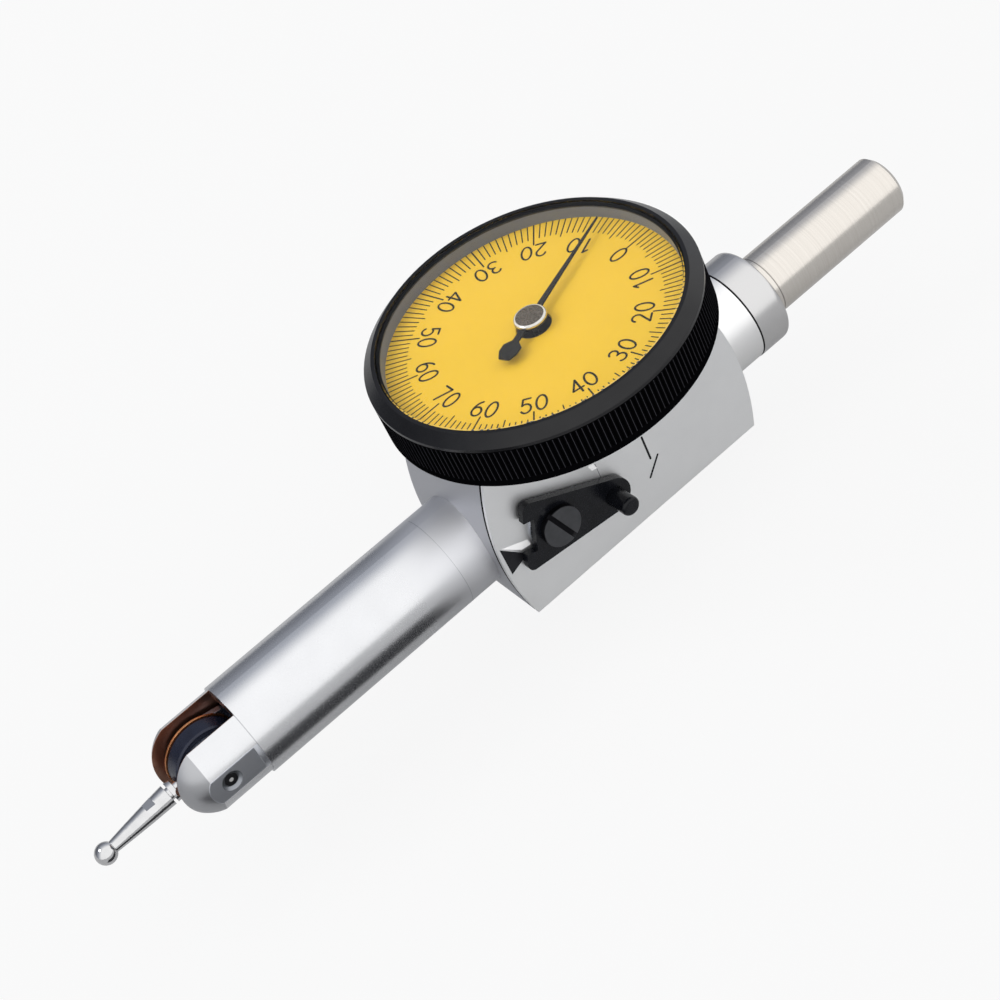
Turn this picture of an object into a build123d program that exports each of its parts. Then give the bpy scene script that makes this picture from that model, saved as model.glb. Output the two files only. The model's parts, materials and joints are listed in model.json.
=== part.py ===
from build123d import *
import math
import os

os.makedirs("parts", exist_ok=True)

# Lever dial test indicator, millimetres. The stem axis is X, the dial faces +Z, and the origin is on the
# stem axis at the outer face of the collar. The reversing lever is on the -Y side.

# Mounting stem
STEM_DIAMETER = 6.0
STEM_LENGTH = 16.6
STEM_CHAMFER = 0.4
COLLAR_DIAMETER = 9.5
COLLAR_LENGTH = 3.3
COLLAR_ROUND = 0.6
SPIGOT_DIAMETER = 4.6
SPIGOT_LENGTH = 5.0

# Body housing and side cover
BOSS_DIAMETER = 9.4
BOSS_LENGTH = 4.0
BODY_REAR = 13.4
BODY_FRONT = 14.45
BODY_FACE_RADIUS = 24.0
BODY_WIDTH = 12.5
BODY_BOTTOM = 6.5
BODY_TOP = 10.0
BODY_EDGE_ROUND = 0.3
SIDE_WALL = 1.25
FLOOR_WALL = 1.25
TOP_WALL = 1.2
FRONT_WALL = 3.0
REAR_WALL = 2.9
POCKET_ROUND = 1.0
COVER_THICKNESS = 0.5
COVER_LIP_WALL = 0.4
COVER_LIP_HEIGHT = 0.5
SEAM_CHAMFER = 0.12

# Barrel and nose fork
BARREL_DIAMETER = 9.06
BARREL_BORE = 6.6
NOSE_JOINT = 39.6
NOSE_DIAMETER = 8.66
NOSE_LENGTH = 7.7
NOSE_SHOULDER = 5.0
NOSE_TIP_RADIUS = 1.2
NOSE_BULGE = 0.62
NOSE_BORE = 6.0
NOSE_SPIGOT_DIAMETER = 7.6
NOSE_SPIGOT_LENGTH = 3.8
SLOT_NEAR = 2.2
SLOT_FAR = 1.9
FLAT_DEPTH = 0.2
FLAT_RUNOUT = 0.45

# Measuring lever, stylus and their pivot
PIVOT_DISTANCE = 43.0
PIVOT_SCREW_DIAMETER = 1.2
PIVOT_SCREW_SUNK = 0.18
TRUNNION_DIAMETER = 0.8
TRUNNION_REACH = 0.4
SCREW_CLEAR_OF_LEVER = 0.25
COUNTERSINK_DIAMETER = 1.9
COUNTERSINK_DEPTH = 0.25
BUSH_DIAMETER = 1.6
CHEEK_GAP = 1.94
CHEEK_THICKNESS = 0.6
CHEEK_RADIUS = 2.9
WEB_START = 3.9
WEB_LENGTH = 2.6
WEB_HEIGHT = 3.0
ARM_FAR = 1.0
ARM_FROM_SECTOR = 0.4
ARM_HEIGHT = 2.2
ARM_OVERHANG = 0.6
WASHER_DIAMETER = 7.1
WASHER_THICKNESS = 0.18
HUB_DIAMETER = 6.9
HUB_CHAMFER = 0.15
STYLUS_TILT = 4.0
STYLUS_REACH = 11.41
STYLUS_THREAD_DIAMETER = 1.1
STYLUS_THREAD_DEPTH = 1.7
STYLUS_COLLAR_DIAMETER = 2.0
STYLUS_COLLAR_START = 3.75
STYLUS_COLLAR_WIDTH = 0.5
STYLUS_NECK_DIAMETER = 1.2
STYLUS_SHANK_START = 4.5
STYLUS_SHANK_DIAMETER = 2.0
STYLUS_TIP_DIAMETER = 1.0
STYLUS_BULGE = 0.04
STYLUS_FLAT_ACROSS = 1.5
STYLUS_FLAT_START = 5.8
STYLUS_FLAT_LENGTH = 0.9
BALL_DIAMETER = 2.0

# Dial case, bezel and crystal
CASE_FLOOR = 0.8
CASE_WALL = 0.85
CASE_HEIGHT = 2.6
CASE_SPIGOT_DIAMETER = 9.9
CASE_SPIGOT_HEIGHT = 0.8
WIRE_SIZE = 0.56
WIRE_HEIGHT = 1.7
WIRE_GAP_ANGLE = 30.0
BEZEL_DIAMETER = 30.2
BEZEL_WALL = 1.0
BEZEL_BOTTOM = 10.05
BEZEL_SHOULDER = 14.3
BEZEL_TOP = 15.2
BEZEL_LIP_WIDTH = 0.35
KNURL_PITCH = 0.5
KNURL_DEPTH = 0.18
KNURL_BOTTOM = 10.75
KNURL_TOP = 13.9
BORE_EDGE_CHAMFER = 0.2
CRYSTAL_INSET = 1.35
CRYSTAL_THICKNESS = 0.55
CRYSTAL_CHAMFER = 0.15
CRYSTAL_SUNK = 0.05
CRYSTAL_LEDGE = 0.3
GASKET_THICKNESS = 0.15
DIAL_TOP = 13.3
DIAL_THICKNESS = 0.3
DIAL_HOLE = 3.2
FRICTION_RING_WIDTH = 0.7

# Pointer and its arbor
POINTER_ANGLE = 22.5
POINTER_BOTTOM = 14.0
POINTER_THICKNESS = 0.15
POINTER_TIP_INSET = 0.85
POINTER_TIP_WIDTH = 0.12
POINTER_ROOT_WIDTH = 0.62
TAIL_START = 2.7
TAIL_SHOULDER = 3.3
TAIL_TAPER = 4.1
TAIL_END = 4.9
TAIL_WIDTH = 1.8
TAIL_END_WIDTH = 1.0
TAIL_NECK_WIDTH = 0.6
POINTER_HUB_DIAMETER = 3.0
POINTER_HUB_TOP = 14.45
POINTER_HUB_ROUND = 0.22
POINTER_TUBE_DIAMETER = 1.3
POINTER_TUBE_LENGTH = 0.5
ARBOR_DIAMETER = 0.8
ARBOR_JOURNAL_DIAMETER = 0.6
ARBOR_PIVOT_DIAMETER = 0.36

# Gear train: lever tail to sector, sector to pinion, crown wheel to centre pinion
SECTOR_PIVOT = 9.0
SECTOR_SHORT_ARM = 3.78
SECTOR_MODULE = 0.2
SECTOR_TEETH = 80
SECTOR_TEETH_CUT = 4
SECTOR_THICKNESS = 1.0
SECTOR_FROM_BRIDGE = 1.7
SECTOR_HUB_DIAMETER = 2.4
SECTOR_ARM_HEIGHT = 1.5
SECTOR_ARM_OVERHANG = 0.6
SECTOR_EDGE_MARGIN = 0.2
SECTOR_TOOTH_ROOT = 1.25
SECTOR_TOOTH_TIP = 0.55
PINION_TEETH = 10
PINION_OVERLAP = 0.15
PINION_TOOTH_ROOT = 0.75
PINION_TOOTH_TIP = 0.45
CROWN_MODULE = 0.125
CROWN_TEETH = 64
CROWN_FACE_WIDTH = 0.5
CROWN_RIM_DEPTH = 0.35
CROWN_WEB = 0.5
CROWN_HUB_DIAMETER = 2.0
CROWN_HUB_LENGTH = 1.3
CROWN_SPOKES = 4
CROWN_WINDOW_DIAMETER = 1.3
CROWN_WINDOW_CIRCLE = 2.15
CENTRE_TEETH = 8
CENTRE_PINION_LENGTH = 1.1
CENTRE_TOOTH_ROOT = 0.6
CENTRE_TOOTH_TIP = 0.4
ADDENDUM = 0.9
DEDENDUM = 1.25
TOOTH_SHARE = 0.43
TOOTH_SUNK = 0.25
CROWN_TAPER = 14.0

# Movement frame
PLATE_THICKNESS = 0.8
BRIDGE_CLEARANCE = 1.0
PILLAR_DIAMETER = 1.6
PILLAR_SPACING_X = 14.0
PILLAR_SPACING_Z = 8.8
PILLAR_MIDDLE_HEIGHT = 0.6
PLATE_MARGIN = 0.4
PLATE_SCREW_SPACING = 6.0
SECTOR_SEAT_DIAMETER = 2.6
JEWEL_DIAMETER = 1.2
COCK_JEWEL_DIAMETER = 1.0
CASE_JEWEL_DIAMETER = 1.5
MOVEMENT_ARBOR_DIAMETER = 0.9
SECTOR_JOURNAL_DIAMETER = 0.6
COCK_SHELF_TOP = 2.9
COCK_SHELF_THICKNESS = 0.6
COCK_SHELF_WIDTH = 2.0
COCK_SHELF_REACH = 0.75
COCK_FOOT_WIDTH = 3.2
COCK_FOOT_TOP = 6.2
COCK_FOOT_THICKNESS = 0.7
COCK_SCREW_HEIGHT = 4.6
STOP_PIN_DIAMETER = 0.6
STOP_RADIUS = 5.0
SECTOR_SWING = 4.6

# Small screws and pins
SMALL_SCREW_DIAMETER = 0.9
SMALL_HEAD_DIAMETER = 1.6
SMALL_HEAD_HEIGHT = 0.45
SMALL_SLOT_WIDTH = 0.25
SMALL_SLOT_DEPTH = 0.2
SMALL_SCREW_LENGTH = 1.4
CASE_SCREW_SPACING_X = 15.0
CASE_SCREW_SPACING_Y = 8.0
TAIL_PIN_DIAMETER = 0.6
TAIL_PIN_CLEARANCE = 0.1
TAIL_PIN_FAR = 0.6
TAIL_PIN_ROOM = 0.25

# Springs
HAIRSPRING_TURNS = 4
HAIRSPRING_PITCH = 0.5
HAIRSPRING_THICKNESS = 0.08
HAIRSPRING_HEIGHT = 0.5
HAIRSPRING_BOTTOM = 7.2
COLLET_DIAMETER = 1.6
COLLET_HEIGHT = 0.7
STUD_DIAMETER = 0.7
STUD_OVERHANG = 0.15
SPRING_WIRE_DIAMETER = 0.2
SPRING_FROM_BRIDGE = 0.3
SPRING_OVERHANG = 0.5

# Reversing lever on the side cover
CLUTCH_FROM_DIAL = 8.6
CLUTCH_HEIGHT = 0.9
CLUTCH_ANGLE = -15.5
CLUTCH_LEVER_ANGLE = -18.0
CLUTCH_LEVER_THICKNESS = 0.7
CLUTCH_TAIL_LENGTH = 3.5
CLUTCH_TAIL_WIDTH = 6.7
CLUTCH_CORNER_ROUND = 0.7
CLUTCH_END_DIAMETER = 3.4
CLUTCH_NOTCH_WIDTH = 3.2
CLUTCH_NOTCH_DEPTH = 1.1
GRIP_DISTANCE = 6.0
GRIP_DIAMETER = 1.8
GRIP_LENGTH = 2.4
GRIP_ROUND = 0.35
CLUTCH_WASHER_DIAMETER = 5.0
CLUTCH_WASHER_THICKNESS = 0.2
CLUTCH_JOURNAL_DIAMETER = 3.0
CLUTCH_CAM_DIAMETER = 4.7
CLUTCH_CAM_THICKNESS = 0.8
CAM_PIN_DIAMETER = 0.7
CAM_PIN_DISTANCE = 2.2
CAM_PIN_REACH = 0.48
CAM_SWING = 31.0
CLUTCH_SCREW_DIAMETER = 1.6
CLUTCH_HEAD_DIAMETER = 3.8
CLUTCH_HEAD_HEIGHT = 0.6
CLUTCH_SLOT_WIDTH = 0.45
CLUTCH_SLOT_DEPTH = 0.35
CLUTCH_SLOT_ANGLE = -69.0

# Clearances
PRESS = 0.01
RUNNING = 0.02
BEZEL_RUNNING = 0.05
PLAY = 0.05
SPRING_SEAT = 0.12

# Places worked out from the sizes above
dial_x = -(COLLAR_LENGTH + BOSS_LENGTH + BODY_REAR)
body_front_x = dial_x - BODY_FRONT
body_rear_x = dial_x + BODY_REAR
near_side = -BODY_WIDTH / 2
cover_inner = near_side + COVER_THICKNESS
pocket_far = BODY_WIDTH / 2 - SIDE_WALL
pocket_front = body_front_x + FRONT_WALL
pocket_rear = body_rear_x - REAR_WALL
pocket_bottom = -BODY_BOTTOM + FLOOR_WALL
pocket_top = BODY_TOP - TOP_WALL
joint_x = dial_x - NOSE_JOINT
nose_x = joint_x - NOSE_LENGTH
pivot_x = dial_x - PIVOT_DISTANCE
sector_x = dial_x - SECTOR_PIVOT
tail_pin_x = sector_x - SECTOR_SHORT_ARM
clutch_x = dial_x - CLUTCH_FROM_DIAL
plate_face = pocket_far - PLATE_THICKNESS
sector_pitch = SECTOR_MODULE * SECTOR_TEETH / 2
pinion_pitch = SECTOR_MODULE * PINION_TEETH / 2
crown_pitch = CROWN_MODULE * CROWN_TEETH / 2
centre_pitch = CROWN_MODULE * CENTRE_TEETH / 2
crown_tip_y = centre_pitch - ADDENDUM * CROWN_MODULE
crown_root_y = centre_pitch + DEDENDUM * CROWN_MODULE
crown_web_y = crown_root_y + CROWN_RIM_DEPTH
outer_radius = BEZEL_DIAMETER / 2
bore_radius = outer_radius - BEZEL_WALL
case_radius = bore_radius - BEZEL_RUNNING
crystal_radius = outer_radius - CRYSTAL_INSET
window_radius = crystal_radius - CRYSTAL_LEDGE
pointer_tip = window_radius - POINTER_TIP_INSET
case_floor_top = BODY_TOP + CASE_FLOOR
case_rim = BODY_TOP + CASE_HEIGHT
wire_z = BODY_TOP + WIRE_HEIGHT
groove = WIRE_SIZE / 2 + SPRING_SEAT
dial_bottom = DIAL_TOP - DIAL_THICKNESS
crystal_top = BEZEL_TOP - CRYSTAL_SUNK
crystal_bottom = crystal_top - CRYSTAL_THICKNESS
gasket_bottom = crystal_bottom - GASKET_THICKNESS
lever_bottom = near_side - CLUTCH_WASHER_THICKNESS
lever_top = lever_bottom - CLUTCH_LEVER_THICKNESS
cam_back = cover_inner + PLAY
cam_front = cam_back + CLUTCH_CAM_THICKNESS
bridge_back = cam_front + BRIDGE_CLEARANCE
bridge_face = bridge_back + PLATE_THICKNESS
sector_face = bridge_face + SECTOR_FROM_BRIDGE
tail_pin_near = bridge_face + TAIL_PIN_CLEARANCE
spring_y = bridge_face + SPRING_FROM_BRIDGE
cam_pin_end = bridge_face + CAM_PIN_REACH
arm_near = sector_face + ARM_FROM_SECTOR
tail_room_start = tail_pin_x - SECTOR_ARM_OVERHANG - TAIL_PIN_ROOM
tail_room = math.hypot(tail_pin_near, TAIL_PIN_DIAMETER / 2) + TAIL_PIN_ROOM
flat_y = NOSE_DIAMETER / 2 - FLAT_DEPTH
cheek_inner = CHEEK_GAP / 2
cheek_outer = cheek_inner + CHEEK_THICKNESS
washer_far = cheek_inner - RUNNING
washer_near = washer_far - WASHER_THICKNESS
hub_far = washer_near - RUNNING
hub_near = -cheek_inner + RUNNING
screw_inner = cheek_outer + SCREW_CLEAR_OF_LEVER
ball_radius = BALL_DIAMETER / 2
knurl_count = round(math.pi * BEZEL_DIAMETER / KNURL_PITCH)
dial_axis = Axis((dial_x, 0, 0), (0, 0, 1))


def side_plane(x, y, z=0.0, turn=0.0):
    """Plane facing -Y with its local x along +X, turned by an angle that lifts local x towards +Z."""
    lift = math.radians(turn)
    return Plane(origin=(x, y, z), x_dir=(math.cos(lift), 0, math.sin(lift)), z_dir=(0, -1, 0))


def rectangle_between(left, bottom, right, top, mode=Mode.ADD):
    """Rectangle between two corners of the open sketch."""
    with Locations(((left + right) / 2, (bottom + top) / 2)):
        Rectangle(right - left, top - bottom, mode=mode)


def ring_on_dial_axis(inner, outer, low, high):
    """Plain ring about the dial axis, by its diameters and its two heights."""
    with BuildPart() as ring:
        with BuildSketch(Plane((dial_x, 0, low))):
            Circle(outer / 2)
            Circle(inner / 2, mode=Mode.SUBTRACT)
        extrude(amount=high - low)
    return ring.part


def disc_on_dial_axis(diameter, low, high):
    """Plain disc about the dial axis, by its diameter and its two heights."""
    with BuildPart() as disc:
        with BuildSketch(Plane((dial_x, 0, low))):
            Circle(diameter / 2)
        extrude(amount=high - low)
    return disc.part


def slotted_screw(head, head_height, shank, length, slot, slot_depth):
    """Cheese-head screw with its head standing on the local XY plane and its shank below it."""
    with BuildPart() as screw:
        Cylinder(head / 2, head_height, align=(Align.CENTER, Align.CENTER, Align.MIN))
        Cylinder(shank / 2, length, align=(Align.CENTER, Align.CENTER, Align.MAX))
        with Locations((0, 0, head_height)):
            Box(head, slot, 2 * slot_depth, mode=Mode.SUBTRACT)
    return screw.part


def tooth(pitch_radius, module, root_factor, tip_factor):
    """Straight-flanked gear tooth pointing along local x, from inside the root circle to the tip circle."""
    half = TOOTH_SHARE * math.pi * module / 2
    foot = pitch_radius - (DEDENDUM + TOOTH_SUNK) * module
    tip = pitch_radius + ADDENDUM * module
    Polygon(
        (foot, -half * root_factor),
        (pitch_radius, -half),
        (tip, -half * tip_factor),
        (tip, half * tip_factor),
        (pitch_radius, half),
        (foot, half * root_factor),
        align=None,
    )


# Outline of the body seen from the side: flat floor, with both ends bowed about Y
def face_sag(z):
    return BODY_FACE_RADIUS - math.sqrt(BODY_FACE_RADIUS**2 - z**2)


with BuildSketch() as body_outline:
    with BuildLine():
        front_face = ThreePointArc(
            (body_front_x + face_sag(BODY_BOTTOM), -BODY_BOTTOM),
            (body_front_x, 0),
            (body_front_x + face_sag(BODY_TOP), BODY_TOP),
        )
        rear_face = ThreePointArc(
            (body_rear_x - face_sag(BODY_TOP), BODY_TOP),
            (body_rear_x, 0),
            (body_rear_x - face_sag(BODY_BOTTOM), -BODY_BOTTOM),
        )
        Line(front_face @ 1, rear_face @ 0)
        Line(rear_face @ 1, front_face @ 0)
    make_face()

small_screw = slotted_screw(
    SMALL_HEAD_DIAMETER,
    SMALL_HEAD_HEIGHT,
    SMALL_SCREW_DIAMETER,
    SMALL_SCREW_LENGTH,
    SMALL_SLOT_WIDTH,
    SMALL_SLOT_DEPTH,
)

# Stem with its collar and threaded spigot
with BuildPart() as stem:
    with BuildSketch(Plane.XZ):
        rectangle_between(-COLLAR_LENGTH - SPIGOT_LENGTH, 0, -COLLAR_LENGTH, SPIGOT_DIAMETER / 2)
        rectangle_between(-COLLAR_LENGTH, 0, 0, COLLAR_DIAMETER / 2)
        rectangle_between(0, 0, STEM_LENGTH, STEM_DIAMETER / 2)
    revolve(axis=Axis.X)
    stem_circles = stem.edges().filter_by(GeomType.CIRCLE)
    chamfer(stem_circles.sort_by(Axis.X)[-1], STEM_CHAMFER)
    fillet(stem_circles.group_by(SortBy.RADIUS)[-1].sort_by(Axis.X)[-1], COLLAR_ROUND)

# Body housing: a pocket open towards the side cover, bored for the barrel, the stem and the movement
with BuildPart() as housing:
    with BuildSketch(side_plane(0, BODY_WIDTH / 2)):
        add(body_outline.sketch)
    extrude(amount=BODY_WIDTH - COVER_THICKNESS)
    far_edges = housing.faces().sort_by(Axis.Y)[-1].edges()
    fillet(far_edges.sort_by(Axis.Z)[:-1], BODY_EDGE_ROUND)
    near_edges = housing.faces().sort_by(Axis.Y)[0].edges()
    chamfer(near_edges.filter_by(GeomType.CIRCLE), SEAM_CHAMFER)
    with BuildSketch(Plane.YZ.offset(body_rear_x - REAR_WALL)):
        Circle(BOSS_DIAMETER / 2)
    extrude(amount=REAR_WALL + BOSS_LENGTH)
    with BuildSketch(side_plane(0, pocket_far)):
        rectangle_between(pocket_front, pocket_bottom, pocket_rear, pocket_top)
        fillet(vertices(), POCKET_ROUND)
    extrude(amount=pocket_far - cover_inner, mode=Mode.SUBTRACT)
    with BuildSketch(Plane.YZ.offset(-COLLAR_LENGTH)):
        Circle(SPIGOT_DIAMETER / 2 + PRESS)
    extrude(amount=-SPIGOT_LENGTH, mode=Mode.SUBTRACT)
    with BuildSketch(Plane.YZ.offset(body_front_x)):
        Circle(BARREL_DIAMETER / 2 + PRESS)
    extrude(amount=FRONT_WALL, mode=Mode.SUBTRACT)
    with BuildSketch(Plane((dial_x, 0, pocket_top))):
        Circle(CASE_SPIGOT_DIAMETER / 2 + PLAY)
        with GridLocations(CASE_SCREW_SPACING_X, CASE_SCREW_SPACING_Y, 2, 2):
            Circle(SMALL_SCREW_DIAMETER / 2 + PRESS)
    extrude(amount=TOP_WALL, mode=Mode.SUBTRACT)
    with BuildSketch(side_plane(dial_x, pocket_far, PILLAR_MIDDLE_HEIGHT)):
        with GridLocations(PLATE_SCREW_SPACING, PILLAR_SPACING_Z, 2, 2):
            Circle(SMALL_SCREW_DIAMETER / 2 + PRESS)
    extrude(amount=-(SMALL_SCREW_LENGTH - PLATE_THICKNESS), mode=Mode.SUBTRACT)

# Side cover with a locating lip that presses into the pocket's mouth
with BuildPart() as side_cover:
    with BuildSketch(side_plane(0, cover_inner)):
        add(body_outline.sketch)
    extrude(amount=COVER_THICKNESS)
    chamfer(side_cover.faces().sort_by(Axis.Y)[-1].edges().filter_by(GeomType.CIRCLE), SEAM_CHAMFER)
    with BuildSketch(side_plane(0, cover_inner)):
        rectangle_between(
            pocket_front + RUNNING, pocket_bottom + RUNNING, pocket_rear - RUNNING, pocket_top - RUNNING
        )
        fillet(vertices(), POCKET_ROUND)
        offset(amount=-COVER_LIP_WALL, mode=Mode.SUBTRACT)
    extrude(amount=-COVER_LIP_HEIGHT)
    with BuildSketch(side_plane(clutch_x, cover_inner, CLUTCH_HEIGHT)):
        Circle(CLUTCH_JOURNAL_DIAMETER / 2 + RUNNING)
    extrude(amount=COVER_THICKNESS, mode=Mode.SUBTRACT)

# Barrel tube, counterbored at the front for the nose fork's spigot and open at the rear round the tail pin
with BuildPart() as barrel_tube:
    with BuildSketch(Plane.XZ):
        rectangle_between(joint_x, BARREL_BORE / 2, pocket_front, BARREL_DIAMETER / 2)
        rectangle_between(
            joint_x,
            BARREL_BORE / 2,
            joint_x + NOSE_SPIGOT_LENGTH + PLAY,
            NOSE_SPIGOT_DIAMETER / 2 + PRESS,
            mode=Mode.SUBTRACT,
        )
        rectangle_between(tail_room_start, 0, pocket_front, tail_room, mode=Mode.SUBTRACT)
    revolve(axis=Axis.X)

# Nose fork: domed nose slotted right through, with a flat on each ear round the pivot screw
with BuildPart() as nose_fork:
    nose_radius = NOSE_DIAMETER / 2
    dome_start = (joint_x - NOSE_SHOULDER, nose_radius)
    dome_end = (nose_x, NOSE_TIP_RADIUS)
    dome_middle = (Vector(*dome_start) + Vector(*dome_end)) / 2
    dome_outward = (Vector(*dome_end) - Vector(*dome_start)).rotate(Axis.Z, -90).normalized()
    with BuildSketch(Plane.XZ):
        with BuildLine():
            dome = ThreePointArc(dome_start, dome_middle + dome_outward * NOSE_BULGE, dome_end)
            Polyline(dome @ 1, (nose_x, 0), (joint_x, 0), (joint_x, nose_radius), dome @ 0)
        make_face()
        rectangle_between(joint_x, 0, joint_x + NOSE_SPIGOT_LENGTH, NOSE_SPIGOT_DIAMETER / 2)
    revolve(axis=Axis.X)
    with BuildSketch(Plane.YZ.offset(joint_x)):
        Circle(NOSE_BORE / 2)
    extrude(amount=NOSE_SPIGOT_LENGTH, mode=Mode.SUBTRACT)
    with BuildSketch(Plane.XY.offset(-nose_radius)):
        rectangle_between(nose_x, -SLOT_NEAR, joint_x, SLOT_FAR)
    extrude(amount=NOSE_DIAMETER, mode=Mode.SUBTRACT)
    with BuildSketch(Plane.XY.offset(-nose_radius)):
        for side in (-1, 1):
            with Locations(((nose_x + joint_x - FLAT_RUNOUT) / 2, side * (flat_y + FLAT_DEPTH))):
                Rectangle(NOSE_LENGTH - FLAT_RUNOUT, 2 * FLAT_DEPTH)
    extrude(amount=NOSE_DIAMETER, mode=Mode.SUBTRACT)
    with BuildSketch(side_plane(pivot_x, nose_radius)):
        Circle(PIVOT_SCREW_DIAMETER / 2 + PRESS)
    extrude(amount=NOSE_DIAMETER, mode=Mode.SUBTRACT)
    for side in (-1, 1):
        with BuildSketch(Plane((pivot_x, side * flat_y, 0), x_dir=(1, 0, 0), z_dir=(0, side, 0))):
            Circle(COUNTERSINK_DIAMETER / 2)
        extrude(amount=-COUNTERSINK_DEPTH, taper=45, mode=Mode.SUBTRACT)

# Two pivot screws whose trunnions carry the lever bush
with BuildPart() as pivot_screws:
    for side in (-1, 1):
        with BuildSketch(Plane((pivot_x, side * screw_inner, 0), x_dir=(1, 0, 0), z_dir=(0, side, 0))):
            Circle(PIVOT_SCREW_DIAMETER / 2)
        extrude(amount=flat_y - PIVOT_SCREW_SUNK - screw_inner)
        with BuildSketch(Plane((pivot_x, side * TRUNNION_REACH, 0), x_dir=(1, 0, 0), z_dir=(0, side, 0))):
            Circle(TRUNNION_DIAMETER / 2)
        extrude(amount=screw_inner - TRUNNION_REACH)

# Lever yoke: two cheeks round the swivel hub, a web, and the long arm through the barrel
with BuildPart() as lever_yoke:
    web_x = pivot_x + WEB_START
    with BuildSketch(side_plane(pivot_x, cheek_outer)):
        Circle(CHEEK_RADIUS)
        with Locations((WEB_START + WEB_LENGTH / 2, 0)):
            Rectangle(WEB_LENGTH, WEB_HEIGHT)
        make_hull()
    extrude(amount=2 * cheek_outer)
    with BuildSketch(Plane.XY.offset(-CHEEK_RADIUS)):
        rectangle_between(pivot_x - CHEEK_RADIUS, -cheek_inner, web_x, cheek_inner)
    extrude(amount=2 * CHEEK_RADIUS, mode=Mode.SUBTRACT)
    with BuildSketch(Plane.YZ.offset(web_x + WEB_LENGTH)):
        rectangle_between(arm_near, -ARM_HEIGHT / 2, ARM_FAR, ARM_HEIGHT / 2)
    extrude(amount=tail_pin_x + ARM_OVERHANG - web_x - WEB_LENGTH)
    with BuildSketch(side_plane(pivot_x, cheek_outer)):
        Circle(BUSH_DIAMETER / 2 + PRESS)
    extrude(amount=2 * cheek_outer, mode=Mode.SUBTRACT)
    with BuildSketch(side_plane(tail_pin_x, ARM_FAR)):
        Circle(TAIL_PIN_DIAMETER / 2 + PRESS)
    extrude(amount=ARM_FAR - arm_near, mode=Mode.SUBTRACT)

with BuildPart() as lever_bush:
    with BuildSketch(side_plane(pivot_x, cheek_outer)):
        Circle(BUSH_DIAMETER / 2)
        Circle(TRUNNION_DIAMETER / 2 + RUNNING, mode=Mode.SUBTRACT)
    extrude(amount=2 * cheek_outer)

with BuildPart() as friction_washer:
    with BuildSketch(side_plane(pivot_x, washer_far)):
        Circle(WASHER_DIAMETER / 2)
        Circle(BUSH_DIAMETER / 2 + RUNNING, mode=Mode.SUBTRACT)
    extrude(amount=WASHER_THICKNESS)

with BuildPart() as tail_pin:
    with BuildSketch(side_plane(tail_pin_x, TAIL_PIN_FAR)):
        Circle(TAIL_PIN_DIAMETER / 2)
    extrude(amount=TAIL_PIN_FAR - tail_pin_near)

# Swivel hub and stylus, set out along the stylus direction from the pivot
stylus_plane = side_plane(pivot_x, 0, turn=180 + STYLUS_TILT)
hub_middle = (hub_far + hub_near) / 2
stylus_axis = Axis((pivot_x, hub_middle, 0), stylus_plane.x_dir)
stylus_section = Plane((pivot_x, hub_middle, 0), x_dir=stylus_plane.x_dir, z_dir=(0, -1, 0))
thread_start = HUB_DIAMETER / 2 - STYLUS_THREAD_DEPTH

with BuildPart() as hub_disc:
    with BuildSketch(side_plane(pivot_x, hub_far)):
        Circle(HUB_DIAMETER / 2)
        Circle(BUSH_DIAMETER / 2 + RUNNING, mode=Mode.SUBTRACT)
    extrude(amount=hub_far - hub_near)
    rims = hub_disc.edges().filter_by(GeomType.CIRCLE).group_by(SortBy.RADIUS)[-1]
    chamfer(rims, HUB_CHAMFER)
    with BuildSketch(stylus_section):
        rectangle_between(thread_start, 0, HUB_DIAMETER / 2, STYLUS_THREAD_DIAMETER / 2 + PRESS)
    revolve(axis=stylus_axis, mode=Mode.SUBTRACT)

with BuildPart() as stylus_shank:
    collar_end = STYLUS_COLLAR_START + STYLUS_COLLAR_WIDTH
    shank_start = (STYLUS_SHANK_START, STYLUS_SHANK_DIAMETER / 2)
    shank_end = (STYLUS_REACH, STYLUS_TIP_DIAMETER / 2)
    shank_middle = (Vector(*shank_start) + Vector(*shank_end)) / 2 + Vector(0, STYLUS_BULGE)
    with BuildSketch(stylus_section):
        rectangle_between(thread_start, 0, STYLUS_COLLAR_START, STYLUS_THREAD_DIAMETER / 2)
        rectangle_between(STYLUS_COLLAR_START, 0, collar_end, STYLUS_COLLAR_DIAMETER / 2)
        rectangle_between(collar_end, 0, STYLUS_SHANK_START, STYLUS_NECK_DIAMETER / 2)
        with BuildLine():
            taper = ThreePointArc(shank_start, shank_middle, shank_end)
            Polyline(taper @ 1, (STYLUS_REACH, 0), (STYLUS_SHANK_START, 0), taper @ 0)
        make_face()
    revolve(axis=stylus_axis)
    flat_middle = STYLUS_FLAT_START + STYLUS_FLAT_LENGTH / 2
    with BuildSketch(stylus_section):
        for side in (-1, 1):
            with Locations((flat_middle, side * (STYLUS_FLAT_ACROSS / 2 + STYLUS_SHANK_DIAMETER / 2))):
                Rectangle(STYLUS_FLAT_LENGTH, STYLUS_SHANK_DIAMETER)
    extrude(amount=STYLUS_SHANK_DIAMETER, both=True, mode=Mode.SUBTRACT)
    with Locations(stylus_section.from_local_coords((STYLUS_REACH, 0, 0))):
        Sphere(ball_radius, mode=Mode.SUBTRACT)

with BuildPart() as stylus_ball:
    with Locations(stylus_section.from_local_coords((STYLUS_REACH, 0, 0))):
        Sphere(ball_radius)

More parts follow.
